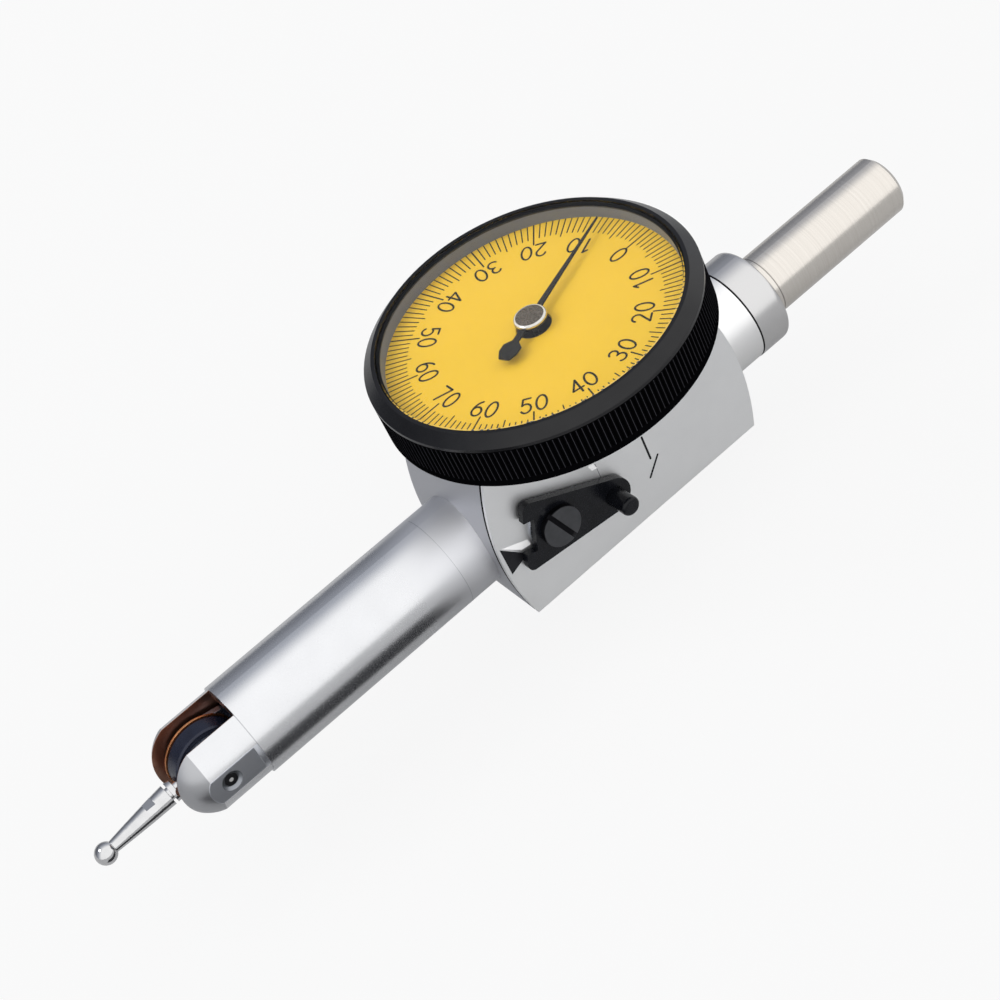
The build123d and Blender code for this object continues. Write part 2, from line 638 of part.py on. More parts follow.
# Dial case: a shallow round pan on top of the body, grooved for the bezel's retaining wire
with BuildPart() as dial_case:
    with BuildSketch(side_plane(dial_x, 0)):
        rectangle_between(0, BODY_TOP, case_radius, case_floor_top)
        rectangle_between(case_radius - CASE_WALL, case_floor_top, case_radius, case_rim)
        rectangle_between(0, BODY_TOP - CASE_SPIGOT_HEIGHT, CASE_SPIGOT_DIAMETER / 2, BODY_TOP)
        groove_inner = case_radius - groove
        rectangle_between(groove_inner, wire_z - groove, case_radius, wire_z + groove, mode=Mode.SUBTRACT)
    revolve(axis=dial_axis)
    with BuildSketch(Plane((dial_x, 0, BODY_TOP - CASE_SPIGOT_HEIGHT))):
        Circle(CASE_JEWEL_DIAMETER / 2 + PRESS)
        with GridLocations(CASE_SCREW_SPACING_X, CASE_SCREW_SPACING_Y, 2, 2):
            Circle(SMALL_SCREW_DIAMETER / 2 + PLAY)
    extrude(amount=CASE_FLOOR + CASE_SPIGOT_HEIGHT, mode=Mode.SUBTRACT)

with BuildPart() as case_screws:
    with Locations(Plane((dial_x, 0, case_floor_top))):
        with GridLocations(CASE_SCREW_SPACING_X, CASE_SCREW_SPACING_Y, 2, 2):
            add(small_screw)

with BuildPart() as retaining_wire:
    with BuildSketch(side_plane(dial_x, 0)):
        with Locations((case_radius, wire_z)):
            Rectangle(WIRE_SIZE, WIRE_SIZE)
    revolve(axis=dial_axis, revolution_arc=360 - WIRE_GAP_ANGLE)

# Knurled bezel: bored to turn on the dial case, with a ledge between dial and crystal
with BuildPart() as bezel_ring:
    seat_radius = crystal_radius + RUNNING
    with BuildSketch(side_plane(dial_x, 0)):
        with BuildLine():
            Polyline(
                (bore_radius + BORE_EDGE_CHAMFER, BEZEL_BOTTOM),
                (outer_radius, BEZEL_BOTTOM),
                (outer_radius, BEZEL_SHOULDER),
                (seat_radius + BEZEL_LIP_WIDTH, BEZEL_TOP),
                (seat_radius, BEZEL_TOP),
                (seat_radius, gasket_bottom),
                (window_radius, gasket_bottom),
                (window_radius, DIAL_TOP),
                (bore_radius, DIAL_TOP),
                (bore_radius, BEZEL_BOTTOM + BORE_EDGE_CHAMFER),
                close=True,
            )
        make_face()
        groove_outer = case_radius + groove
        rectangle_between(0, wire_z - groove, groove_outer, wire_z + groove, mode=Mode.SUBTRACT)
    revolve(axis=dial_axis)
    with BuildSketch(Plane((dial_x, 0, KNURL_BOTTOM))):
        with PolarLocations(outer_radius, knurl_count):
            half_pitch = KNURL_PITCH / 2
            Polygon((KNURL_DEPTH, -half_pitch), (KNURL_DEPTH, half_pitch), (-KNURL_DEPTH, 0), align=None)
    extrude(amount=KNURL_TOP - KNURL_BOTTOM, mode=Mode.SUBTRACT)

with BuildPart() as crystal:
    add(disc_on_dial_axis(2 * crystal_radius, crystal_bottom, crystal_top))
    chamfer(crystal.faces().sort_by(Axis.Z)[-1].edges(), CRYSTAL_CHAMFER)

with BuildPart() as crystal_gasket:
    add(ring_on_dial_axis(2 * window_radius, 2 * crystal_radius, gasket_bottom, crystal_bottom))

with BuildPart() as dial_plate:
    add(ring_on_dial_axis(DIAL_HOLE, 2 * case_radius, dial_bottom, DIAL_TOP))

with BuildPart() as friction_ring:
    ring_outer = 2 * case_radius
    add(ring_on_dial_axis(ring_outer - 2 * FRICTION_RING_WIDTH, ring_outer, case_rim + PLAY, dial_bottom))

# Pointer with its counterweight, hub and arbor
with BuildPart() as pointer:
    with BuildSketch(Plane((dial_x, 0, POINTER_BOTTOM)).rotated((0, 0, POINTER_ANGLE))):
        with BuildLine():
            Polyline(
                (0, POINTER_ROOT_WIDTH / 2),
                (pointer_tip, POINTER_TIP_WIDTH / 2),
                (pointer_tip, -POINTER_TIP_WIDTH / 2),
                (0, -POINTER_ROOT_WIDTH / 2),
                close=True,
            )
        make_face()
        rectangle_between(-TAIL_START, -TAIL_NECK_WIDTH / 2, 0, TAIL_NECK_WIDTH / 2)
        Polygon(
            (-TAIL_START, TAIL_NECK_WIDTH / 2),
            (-TAIL_SHOULDER, TAIL_WIDTH / 2),
            (-TAIL_TAPER, TAIL_WIDTH / 2),
            (-TAIL_END, TAIL_END_WIDTH / 2),
            (-TAIL_END, -TAIL_END_WIDTH / 2),
            (-TAIL_TAPER, -TAIL_WIDTH / 2),
            (-TAIL_SHOULDER, -TAIL_WIDTH / 2),
            (-TAIL_START, -TAIL_NECK_WIDTH / 2),
            align=None,
        )
        Circle(POINTER_HUB_DIAMETER / 2)
        Circle(POINTER_TUBE_DIAMETER / 2 + PRESS, mode=Mode.SUBTRACT)
    extrude(amount=POINTER_THICKNESS)

with BuildPart() as pointer_hub:
    hub_seat = POINTER_BOTTOM + POINTER_THICKNESS
    add(disc_on_dial_axis(POINTER_HUB_DIAMETER, hub_seat, POINTER_HUB_TOP))
    fillet(pointer_hub.faces().sort_by(Axis.Z)[-1].edges(), POINTER_HUB_ROUND)
    tube_bottom = POINTER_BOTTOM - POINTER_TUBE_LENGTH
    add(disc_on_dial_axis(POINTER_TUBE_DIAMETER, tube_bottom, hub_seat))
    with BuildSketch(Plane((dial_x, 0, tube_bottom))):
        Circle(ARBOR_JOURNAL_DIAMETER / 2 + PRESS)
    extrude(amount=POINTER_HUB_TOP - tube_bottom - POINTER_THICKNESS, mode=Mode.SUBTRACT)

with BuildPart() as centre_arbor:
    shelf_bottom = COCK_SHELF_TOP - COCK_SHELF_THICKNESS
    arbor_shoulder = BODY_TOP - CASE_SPIGOT_HEIGHT - PLAY
    arbor_top = POINTER_HUB_TOP - POINTER_THICKNESS - PLAY
    with BuildSketch(side_plane(dial_x, 0)):
        rectangle_between(0, shelf_bottom, ARBOR_PIVOT_DIAMETER / 2, COCK_SHELF_TOP + PLAY)
        rectangle_between(0, COCK_SHELF_TOP + PLAY, ARBOR_DIAMETER / 2, arbor_shoulder)
        rectangle_between(0, arbor_shoulder, ARBOR_JOURNAL_DIAMETER / 2, arbor_top)
    revolve(axis=dial_axis)
    with BuildSketch(Plane((dial_x, 0, crown_pitch - CENTRE_PINION_LENGTH / 2))):
        Circle(centre_pitch - DEDENDUM * CROWN_MODULE)
        with PolarLocations(0, CENTRE_TEETH):
            tooth(centre_pitch, CROWN_MODULE, CENTRE_TOOTH_ROOT, CENTRE_TOOTH_TIP)
    extrude(amount=CENTRE_PINION_LENGTH)

with BuildPart() as hairspring_collet:
    collet_low = HAIRSPRING_BOTTOM + (HAIRSPRING_HEIGHT - COLLET_HEIGHT) / 2
    collet_high = collet_low + COLLET_HEIGHT
    add(ring_on_dial_axis(ARBOR_DIAMETER + 2 * PRESS, COLLET_DIAMETER, collet_low, collet_high))

# Hairspring: half circles of growing radius from the collet out to the stud
with BuildPart() as hairspring:
    with BuildSketch(Plane((dial_x, 0, HAIRSPRING_BOTTOM))):
        with BuildLine():
            reach = COLLET_DIAMETER / 2 + HAIRSPRING_THICKNESS / 2 + RUNNING
            side = 1
            for half_turn in range(2 * HAIRSPRING_TURNS):
                next_reach = reach + HAIRSPRING_PITCH / 2
                crest = (side * (reach - next_reach) / 2, side * (reach + next_reach) / 2)
                ThreePointArc((side * reach, 0), crest, (-side * next_reach, 0))
                reach = next_reach
                side = -side
        trace(line_width=HAIRSPRING_THICKNESS)
    extrude(amount=HAIRSPRING_HEIGHT)
    hairspring_reach = reach

with BuildPart() as hairspring_stud:
    stud_x = hairspring_reach + HAIRSPRING_THICKNESS / 2 + STUD_DIAMETER / 2 + RUNNING
    stud_low = HAIRSPRING_BOTTOM - STUD_OVERHANG
    with BuildSketch(Plane((dial_x + stud_x, 0, stud_low))):
        Circle(STUD_DIAMETER / 2)
    extrude(amount=BODY_TOP - CASE_SPIGOT_HEIGHT - stud_low)

# Movement plate, pillars and bridge that carry the sector and the crown wheel
with BuildSketch() as frame_outline:
    with Locations((0, PILLAR_MIDDLE_HEIGHT)):
        with GridLocations(PILLAR_SPACING_X, PILLAR_SPACING_Z, 2, 2):
            Circle(PILLAR_DIAMETER / 2 + PLATE_MARGIN)
    with Locations((-SECTOR_PIVOT, 0)):
        Circle(SECTOR_SEAT_DIAMETER / 2)
    make_hull()
    with Locations((0, 0), (-SECTOR_PIVOT, 0)):
        Circle(JEWEL_DIAMETER / 2 + PRESS, mode=Mode.SUBTRACT)

with BuildPart() as movement_plate:
    with BuildSketch(side_plane(dial_x, pocket_far)):
        add(frame_outline.sketch)
        with Locations((0, PILLAR_MIDDLE_HEIGHT)):
            with GridLocations(PLATE_SCREW_SPACING, PILLAR_SPACING_Z, 2, 2):
                Circle(SMALL_SCREW_DIAMETER / 2 + PLAY, mode=Mode.SUBTRACT)
    extrude(amount=PLATE_THICKNESS)

with BuildPart() as plate_screws:
    with Locations(side_plane(dial_x, plate_face, PILLAR_MIDDLE_HEIGHT)):
        with GridLocations(PLATE_SCREW_SPACING, PILLAR_SPACING_Z, 2, 2):
            add(small_screw)

with BuildPart() as pillars:
    with BuildSketch(side_plane(dial_x, plate_face, PILLAR_MIDDLE_HEIGHT)):
        with GridLocations(PILLAR_SPACING_X, PILLAR_SPACING_Z, 2, 2):
            Circle(PILLAR_DIAMETER / 2)
    extrude(amount=plate_face - bridge_face)
    with BuildSketch(side_plane(dial_x, bridge_face, PILLAR_MIDDLE_HEIGHT)):
        with GridLocations(PILLAR_SPACING_X, PILLAR_SPACING_Z, 2, 2):
            Circle(SMALL_SCREW_DIAMETER / 2 + PRESS)
    extrude(amount=-(SMALL_SCREW_LENGTH - PLATE_THICKNESS), mode=Mode.SUBTRACT)

# Sector stops: pins that meet the sector's edges just past the end of its swing
sector_half_angle = 180 / SECTOR_TEETH * SECTOR_TEETH_CUT + SECTOR_EDGE_MARGIN
pin_half_angle = math.degrees(math.asin((STOP_PIN_DIAMETER / 2 + RUNNING) / STOP_RADIUS))
stop_angle = sector_half_angle + SECTOR_SWING + pin_half_angle
stop_x = STOP_RADIUS * math.cos(math.radians(stop_angle)) - SECTOR_PIVOT
stop_z = STOP_RADIUS * math.sin(math.radians(stop_angle))

# Path of the reversing cam's pin through the bridge
cam_path = CenterArc((-CLUTCH_FROM_DIAL, CLUTCH_HEIGHT), CAM_PIN_DISTANCE, CLUTCH_ANGLE, CAM_SWING)

with BuildPart() as movement_bridge:
    with BuildSketch(side_plane(dial_x, bridge_face)):
        add(frame_outline.sketch)
        with Locations((0, PILLAR_MIDDLE_HEIGHT)):
            with GridLocations(PILLAR_SPACING_X, PILLAR_SPACING_Z, 2, 2):
                Circle(SMALL_SCREW_DIAMETER / 2 + PLAY, mode=Mode.SUBTRACT)
        with Locations((0, COCK_SCREW_HEIGHT)):
            Circle(SMALL_SCREW_DIAMETER / 2 + PLAY, mode=Mode.SUBTRACT)
        with Locations((stop_x, stop_z), (stop_x, -stop_z)):
            Circle(STOP_PIN_DIAMETER / 2 + PRESS, mode=Mode.SUBTRACT)
        SlotArc(cam_path, CAM_PIN_DIAMETER + 2 * SPRING_SEAT, mode=Mode.SUBTRACT)
    extrude(amount=PLATE_THICKNESS)

with BuildPart() as bridge_screws:
    with Locations(side_plane(dial_x, bridge_back, PILLAR_MIDDLE_HEIGHT)):
        with GridLocations(PILLAR_SPACING_X, PILLAR_SPACING_Z, 2, 2):
            add(small_screw)
    with Locations(side_plane(dial_x, bridge_back, COCK_SCREW_HEIGHT)):
        add(small_screw)

with BuildPart() as stop_pins:
    with BuildSketch(side_plane(dial_x, sector_face)):
        with Locations((stop_x, stop_z), (stop_x, -stop_z)):
            Circle(STOP_PIN_DIAMETER / 2)
    extrude(amount=sector_face - bridge_back)

# Cock on the bridge that holds the centre arbor's lower jewel
with BuildPart() as centre_cock:
    with BuildSketch(side_plane(dial_x, bridge_face + COCK_FOOT_THICKNESS)):
        rectangle_between(
            -COCK_FOOT_WIDTH / 2, COCK_SHELF_TOP - COCK_SHELF_THICKNESS, COCK_FOOT_WIDTH / 2, COCK_FOOT_TOP
        )
    extrude(amount=COCK_FOOT_THICKNESS)
    with BuildSketch(Plane((dial_x, 0, COCK_SHELF_TOP - COCK_SHELF_THICKNESS))):
        rectangle_between(-COCK_SHELF_WIDTH / 2, bridge_face, COCK_SHELF_WIDTH / 2, COCK_SHELF_REACH)
    extrude(amount=COCK_SHELF_THICKNESS)
    with BuildSketch(Plane((dial_x, 0, COCK_SHELF_TOP - COCK_SHELF_THICKNESS))):
        Circle(COCK_JEWEL_DIAMETER / 2 + PRESS)
    extrude(amount=COCK_SHELF_THICKNESS, mode=Mode.SUBTRACT)
    with BuildSketch(side_plane(dial_x, bridge_face, COCK_SCREW_HEIGHT)):
        Circle(SMALL_SCREW_DIAMETER / 2 + PRESS)
    extrude(amount=-(SMALL_SCREW_LENGTH - PLATE_THICKNESS), mode=Mode.SUBTRACT)

with BuildPart() as movement_jewels:
    for jewel_face in (pocket_far, bridge_face):
        with BuildSketch(side_plane(dial_x, jewel_face)):
            with Locations((0, 0), (-SECTOR_PIVOT, 0)):
                Circle(JEWEL_DIAMETER / 2)
                Circle(ARBOR_PIVOT_DIAMETER / 2 + RUNNING, mode=Mode.SUBTRACT)
        extrude(amount=PLATE_THICKNESS)

with BuildPart() as centre_jewels:
    journal_bore = ARBOR_JOURNAL_DIAMETER + 2 * RUNNING
    add(ring_on_dial_axis(journal_bore, CASE_JEWEL_DIAMETER, BODY_TOP - CASE_SPIGOT_HEIGHT, case_floor_top))
    pivot_bore = ARBOR_PIVOT_DIAMETER + 2 * RUNNING
    shelf_low = COCK_SHELF_TOP - COCK_SHELF_THICKNESS
    add(ring_on_dial_axis(pivot_bore, COCK_JEWEL_DIAMETER, shelf_low, COCK_SHELF_TOP))

# Crown wheel: a spoked cup with teeth on its rim's face, meshing with the centre pinion at the top
with BuildPart() as crown_wheel:
    rim_outer = crown_pitch + CROWN_FACE_WIDTH / 2
    rim_inner = crown_pitch - CROWN_FACE_WIDTH / 2
    with BuildSketch(side_plane(dial_x, crown_web_y + CROWN_WEB)):
        Circle(rim_outer)
        with PolarLocations(CROWN_WINDOW_CIRCLE, CROWN_SPOKES, start_angle=180 / CROWN_SPOKES):
            Circle(CROWN_WINDOW_DIAMETER / 2, mode=Mode.SUBTRACT)
    extrude(amount=CROWN_WEB)
    with BuildSketch(side_plane(dial_x, crown_web_y)):
        Circle(rim_outer)
        Circle(rim_inner, mode=Mode.SUBTRACT)
    extrude(amount=CROWN_RIM_DEPTH)
    with BuildSketch(side_plane(dial_x, crown_web_y + CROWN_HUB_LENGTH)):
        Circle(CROWN_HUB_DIAMETER / 2)
    extrude(amount=CROWN_HUB_LENGTH)
    root_width = (1 - TOOTH_SHARE) * math.pi * CROWN_MODULE
    with BuildSketch(side_plane(dial_x, crown_root_y)):
        with PolarLocations(crown_pitch, CROWN_TEETH, start_angle=180 / CROWN_TEETH):
            Rectangle(CROWN_FACE_WIDTH, root_width)
    extrude(amount=crown_root_y - crown_tip_y, taper=CROWN_TAPER)
    with BuildSketch(side_plane(dial_x, crown_web_y + CROWN_HUB_LENGTH)):
        Circle(MOVEMENT_ARBOR_DIAMETER / 2 + PRESS)
    extrude(amount=CROWN_HUB_LENGTH, mode=Mode.SUBTRACT)

with BuildPart() as crown_arbor:
    with BuildSketch(side_plane(dial_x, pocket_far)):
        Circle(ARBOR_PIVOT_DIAMETER / 2)
    extrude(amount=pocket_far - bridge_back)
    with BuildSketch(side_plane(dial_x, plate_face - PLAY)):
        Circle(MOVEMENT_ARBOR_DIAMETER / 2)
    extrude(amount=plate_face - bridge_face - 2 * PLAY)
    with BuildSketch(side_plane(dial_x, sector_face + PINION_OVERLAP)):
        Circle(pinion_pitch - DEDENDUM * SECTOR_MODULE)
        with PolarLocations(0, PINION_TEETH):
            tooth(pinion_pitch, SECTOR_MODULE, PINION_TOOTH_ROOT, PINION_TOOTH_TIP)
    extrude(amount=SECTOR_THICKNESS + 2 * PINION_OVERLAP)

# Sector: a short forked arm for the lever's tail pin, and a toothed segment for the pinion
with BuildPart() as sector_gear:
    sector_root = sector_pitch - DEDENDUM * SECTOR_MODULE
    with BuildSketch(side_plane(sector_x, sector_face)):
        with BuildLine():
            edge_x = sector_root * math.cos(math.radians(sector_half_angle))
            edge_z = sector_root * math.sin(math.radians(sector_half_angle))
            Line((0, 0), (edge_x, -edge_z))
            ThreePointArc((edge_x, -edge_z), (sector_root, 0), (edge_x, edge_z))
            Line((edge_x, edge_z), (0, 0))
        make_face()
        tooth_step = 360 / SECTOR_TEETH
        first_tooth = -tooth_step * (SECTOR_TEETH_CUT - 1) / 2
        with PolarLocations(0, SECTOR_TEETH_CUT, first_tooth, tooth_step * SECTOR_TEETH_CUT):
            tooth(sector_pitch, SECTOR_MODULE, SECTOR_TOOTH_ROOT, SECTOR_TOOTH_TIP)
        arm_end = -SECTOR_SHORT_ARM - SECTOR_ARM_OVERHANG
        rectangle_between(arm_end, -SECTOR_ARM_HEIGHT / 2, 0, SECTOR_ARM_HEIGHT / 2)
        Circle(SECTOR_HUB_DIAMETER / 2)
        fork_half = TAIL_PIN_DIAMETER / 2 + RUNNING
        fork_bottom = fork_half - SECTOR_SHORT_ARM
        rectangle_between(arm_end, -fork_half, fork_bottom, fork_half, mode=Mode.SUBTRACT)
        Circle(MOVEMENT_ARBOR_DIAMETER / 2 + PRESS, mode=Mode.SUBTRACT)
    extrude(amount=SECTOR_THICKNESS)

with BuildPart() as sector_arbor:
    with BuildSketch(side_plane(sector_x, pocket_far)):
        Circle(ARBOR_PIVOT_DIAMETER / 2)
    extrude(amount=pocket_far - bridge_back)
    with BuildSketch(side_plane(sector_x, plate_face - PLAY)):
        Circle(MOVEMENT_ARBOR_DIAMETER / 2)
    extrude(amount=plate_face - PLAY - sector_face + SECTOR_THICKNESS)
    with BuildSketch(side_plane(sector_x, sector_face - SECTOR_THICKNESS)):
        Circle(SECTOR_JOURNAL_DIAMETER / 2)
    extrude(amount=sector_face - SECTOR_THICKNESS - bridge_face - PLAY)

# Reversing lever: plate with a notched tail, journal and cam, slotted screw and grip pin
clutch_plane = side_plane(clutch_x, lever_bottom, CLUTCH_HEIGHT, turn=CLUTCH_LEVER_ANGLE)

with BuildPart() as clutch_lever:
    with BuildSketch(clutch_plane):
        with Locations((GRIP_DISTANCE, 0)):
            Circle(CLUTCH_END_DIAMETER / 2)
        for side in (-1, 1):
            with Locations((-CLUTCH_TAIL_LENGTH + CLUTCH_CORNER_ROUND,
                            side * (CLUTCH_TAIL_WIDTH / 2 - CLUTCH_CORNER_ROUND))):
                Circle(CLUTCH_CORNER_ROUND)
        make_hull()
        rectangle_between(
            -CLUTCH_TAIL_LENGTH,
            -CLUTCH_NOTCH_WIDTH / 2,
            -CLUTCH_TAIL_LENGTH + CLUTCH_NOTCH_DEPTH,
            CLUTCH_NOTCH_WIDTH / 2,
            mode=Mode.SUBTRACT,
        )
        Circle(CLUTCH_JOURNAL_DIAMETER / 2 + PRESS, mode=Mode.SUBTRACT)
        with Locations((GRIP_DISTANCE, 0)):
            Circle(GRIP_DIAMETER / 2 + PRESS, mode=Mode.SUBTRACT)
    extrude(amount=CLUTCH_LEVER_THICKNESS)

with BuildPart() as clutch_washer:
    with BuildSketch(side_plane(clutch_x, near_side, CLUTCH_HEIGHT)):
        Circle(CLUTCH_WASHER_DIAMETER / 2)
        Circle(CLUTCH_JOURNAL_DIAMETER / 2 + RUNNING, mode=Mode.SUBTRACT)
    extrude(amount=CLUTCH_WASHER_THICKNESS)

with BuildPart() as clutch_cam:
    with BuildSketch(side_plane(clutch_x, cam_front, CLUTCH_HEIGHT)):
        Circle(CLUTCH_CAM_DIAMETER / 2)
    extrude(amount=CLUTCH_CAM_THICKNESS)
    with BuildSketch(side_plane(clutch_x, cam_back, CLUTCH_HEIGHT)):
        Circle(CLUTCH_JOURNAL_DIAMETER / 2)
    extrude(amount=cam_back - lever_top)
    with BuildSketch(side_plane(clutch_x, cam_pin_end, CLUTCH_HEIGHT, turn=CLUTCH_ANGLE)):
        with Locations((CAM_PIN_DISTANCE, 0)):
            Circle(CAM_PIN_DIAMETER / 2)
    extrude(amount=cam_pin_end - cam_front)
    with BuildSketch(side_plane(clutch_x, cam_front, CLUTCH_HEIGHT)):
        Circle(CLUTCH_SCREW_DIAMETER / 2 + PRESS)
    extrude(amount=cam_front - lever_top, mode=Mode.SUBTRACT)

with BuildPart() as clutch_screw:
    with Locations(side_plane(clutch_x, lever_top, CLUTCH_HEIGHT, turn=CLUTCH_SLOT_ANGLE)):
        add(
            slotted_screw(
                CLUTCH_HEAD_DIAMETER,
                CLUTCH_HEAD_HEIGHT,
                CLUTCH_SCREW_DIAMETER,
                cam_front - lever_top,
                CLUTCH_SLOT_WIDTH,
                CLUTCH_SLOT_DEPTH,
            )
        )

with BuildPart() as grip_pin:
    with BuildSketch(clutch_plane):
        with Locations((GRIP_DISTANCE, 0)):
            Circle(GRIP_DIAMETER / 2)
    extrude(amount=CLUTCH_LEVER_THICKNESS + GRIP_LENGTH)
    fillet(grip_pin.faces().sort_by(Axis.Y)[0].edges(), GRIP_ROUND)

# Reversing spring: a hairpin round the cam pin, its legs either side of the sector arbor and the tail pin
with BuildPart() as reversing_spring:
    cam_pin_x = clutch_x + CAM_PIN_DISTANCE * math.cos(math.radians(CLUTCH_ANGLE))
    cam_pin_z = CLUTCH_HEIGHT + CAM_PIN_DISTANCE * math.sin(math.radians(CLUTCH_ANGLE))
    bend = cam_pin_z + TAIL_PIN_DIAMETER / 2 + SPRING_WIRE_DIAMETER / 2 + PLAY
    leg_end = tail_pin_x - SPRING_OVERHANG
    with BuildLine(side_plane(0, spring_y)) as hairpin:
        upper_leg = Line((leg_end, cam_pin_z + bend), (cam_pin_x, cam_pin_z + bend))
        bend_arc = ThreePointArc(
            upper_leg @ 1, (cam_pin_x + bend, cam_pin_z), (cam_pin_x, cam_pin_z - bend)
        )
        Line(bend_arc @ 1, (leg_end, cam_pin_z - bend))
    with BuildSketch(Plane((leg_end, spring_y, cam_pin_z + bend), z_dir=(1, 0, 0))):
        Circle(SPRING_WIRE_DIAMETER / 2)
    sweep(path=hairpin.wires()[0])

pieces = {
    "stem": stem,
    "housing": housing,
    "side_cover": side_cover,
    "barrel_tube": barrel_tube,
    "nose_fork": nose_fork,
    "pivot_screws": pivot_screws,
    "lever_yoke": lever_yoke,
    "lever_bush": lever_bush,
    "friction_washer": friction_washer,
    "tail_pin": tail_pin,
    "hub_disc": hub_disc,
    "stylus_shank": stylus_shank,
    "stylus_ball": stylus_ball,
    "dial_case": dial_case,
    "case_screws": case_screws,
    "retaining_wire": retaining_wire,
    "bezel_ring": bezel_ring,
    "crystal": crystal,
    "crystal_gasket": crystal_gasket,
    "dial_plate": dial_plate,
    "friction_ring": friction_ring,
    "pointer": pointer,
    "pointer_hub": pointer_hub,
    "centre_arbor": centre_arbor,
    "hairspring_collet": hairspring_collet,
    "hairspring": hairspring,
    "hairspring_stud": hairspring_stud,
    "movement_plate": movement_plate,
    "plate_screws": plate_screws,
    "pillars": pillars,
    "movement_bridge": movement_bridge,
    "bridge_screws": bridge_screws,
    "stop_pins": stop_pins,
    "centre_cock": centre_cock,
    "movement_jewels": movement_jewels,
    "centre_jewels": centre_jewels,
    "crown_wheel": crown_wheel,
    "crown_arbor": crown_arbor,
    "sector_gear": sector_gear,
    "sector_arbor": sector_arbor,
    "clutch_lever": clutch_lever,
    "clutch_washer": clutch_washer,
    "clutch_cam": clutch_cam,
    "clutch_screw": clutch_screw,
    "grip_pin": grip_pin,
    "reversing_spring": reversing_spring,
}

for name, piece in pieces.items():
    piece.part.label = name
    export_step(piece.part, f"parts/{name}.step")
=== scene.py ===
import json
import math

import bmesh
import bpy
from mathutils import Matrix, Vector

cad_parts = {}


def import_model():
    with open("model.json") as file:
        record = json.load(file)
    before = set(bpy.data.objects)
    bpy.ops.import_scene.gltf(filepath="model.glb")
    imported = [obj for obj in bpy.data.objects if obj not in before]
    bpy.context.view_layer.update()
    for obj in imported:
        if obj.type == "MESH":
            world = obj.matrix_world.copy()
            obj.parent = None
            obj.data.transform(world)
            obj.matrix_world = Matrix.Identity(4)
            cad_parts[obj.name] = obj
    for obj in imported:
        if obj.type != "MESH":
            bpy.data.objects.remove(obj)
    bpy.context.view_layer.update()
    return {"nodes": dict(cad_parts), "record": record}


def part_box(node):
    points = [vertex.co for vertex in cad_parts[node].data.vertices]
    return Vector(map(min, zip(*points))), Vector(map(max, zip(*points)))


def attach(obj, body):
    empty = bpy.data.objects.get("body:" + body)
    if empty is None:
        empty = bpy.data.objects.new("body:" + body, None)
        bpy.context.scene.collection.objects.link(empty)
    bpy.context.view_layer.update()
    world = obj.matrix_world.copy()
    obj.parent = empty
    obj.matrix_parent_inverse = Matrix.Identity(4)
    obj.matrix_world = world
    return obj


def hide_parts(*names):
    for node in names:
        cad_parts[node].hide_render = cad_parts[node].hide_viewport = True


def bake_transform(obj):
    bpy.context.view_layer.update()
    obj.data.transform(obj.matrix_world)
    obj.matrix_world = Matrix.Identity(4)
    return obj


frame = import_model()
nodes = frame["nodes"]

MM = 0.001


def corners(node):
    """Low and high corners of a CAD node's box, millimetres."""
    low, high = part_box(node)
    return low / MM, high / MM


# Places taken from the frame, millimetres
HOUSING_LOW, HOUSING_HIGH = corners("housing")
COVER_LOW, COVER_HIGH = corners("side_cover")
NOSE_JOINT_X = corners("barrel_tube")[0].x
NOSE_SIDE_Y = corners("nose_fork")[1].y
PIVOT_LOW, PIVOT_HIGH = corners("pivot_screws")
PIVOT_X = (PIVOT_LOW.x + PIVOT_HIGH.x) / 2
DIAL_LOW, DIAL_HIGH = corners("dial_plate")
DIAL_X = (DIAL_LOW.x + DIAL_HIGH.x) / 2
BEZEL_LOW, BEZEL_HIGH = corners("bezel_ring")
BEZEL_RADIUS = BEZEL_HIGH.x - DIAL_X
STYLUS_END_X = corners("stylus_ball")[0].x

# Bounds of the finishes painted by place, painted shade and highlights among them, millimetres
SEAM_HALF_WIDTH = 0.13
FRONT_X = HOUSING_LOW.x + 4.15
BOSS_X = COVER_HIGH.x + 0.05
BOSS_JOINT_X = HOUSING_HIGH.x - 0.15
COLLAR_X = 0.02
STEM_LINE_X = 1.0
STEM_LINE_HALF = 0.06
BARREL_LINE_X = HOUSING_LOW.x - 3.0
BARREL_LINE_HALF = 0.03
BARREL_DULL_FROM = HOUSING_LOW.x - 8.85
BARREL_DULL_TO = HOUSING_LOW.x - 1.35
NOSE_FLAT_Y = NOSE_SIDE_Y - 0.23
NOSE_DOME_X = NOSE_JOINT_X - 5.0
SLOT_NEAR_Y = -2.2
SLOT_FAR_Y = 1.9
SLOT_MARGIN = 0.02
PIVOT_SEAT_RADIUS = 0.97
PIVOT_CENTRE_RADIUS = 0.2
SCREW_FACE_DEPTH = 0.12
HUB_BEVEL_RADIUS = 1.27
HUB_BEVEL_DEPTH = 0.24
KNURL_PITCH = 0.5
KNURL_COUNT = round(2 * math.pi * BEZEL_RADIUS / KNURL_PITCH)
KNURL_LINE_SHARE = 0.1
KNURL_LOW = BEZEL_LOW.z + 0.65
KNURL_HIGH = BEZEL_HIGH.z - 1.3
KNURL_RADIUS = BEZEL_RADIUS - 0.5
RIM_Z = BEZEL_HIGH.z - 1.2
INNER_WALL_RADIUS = BEZEL_RADIUS - 1.5
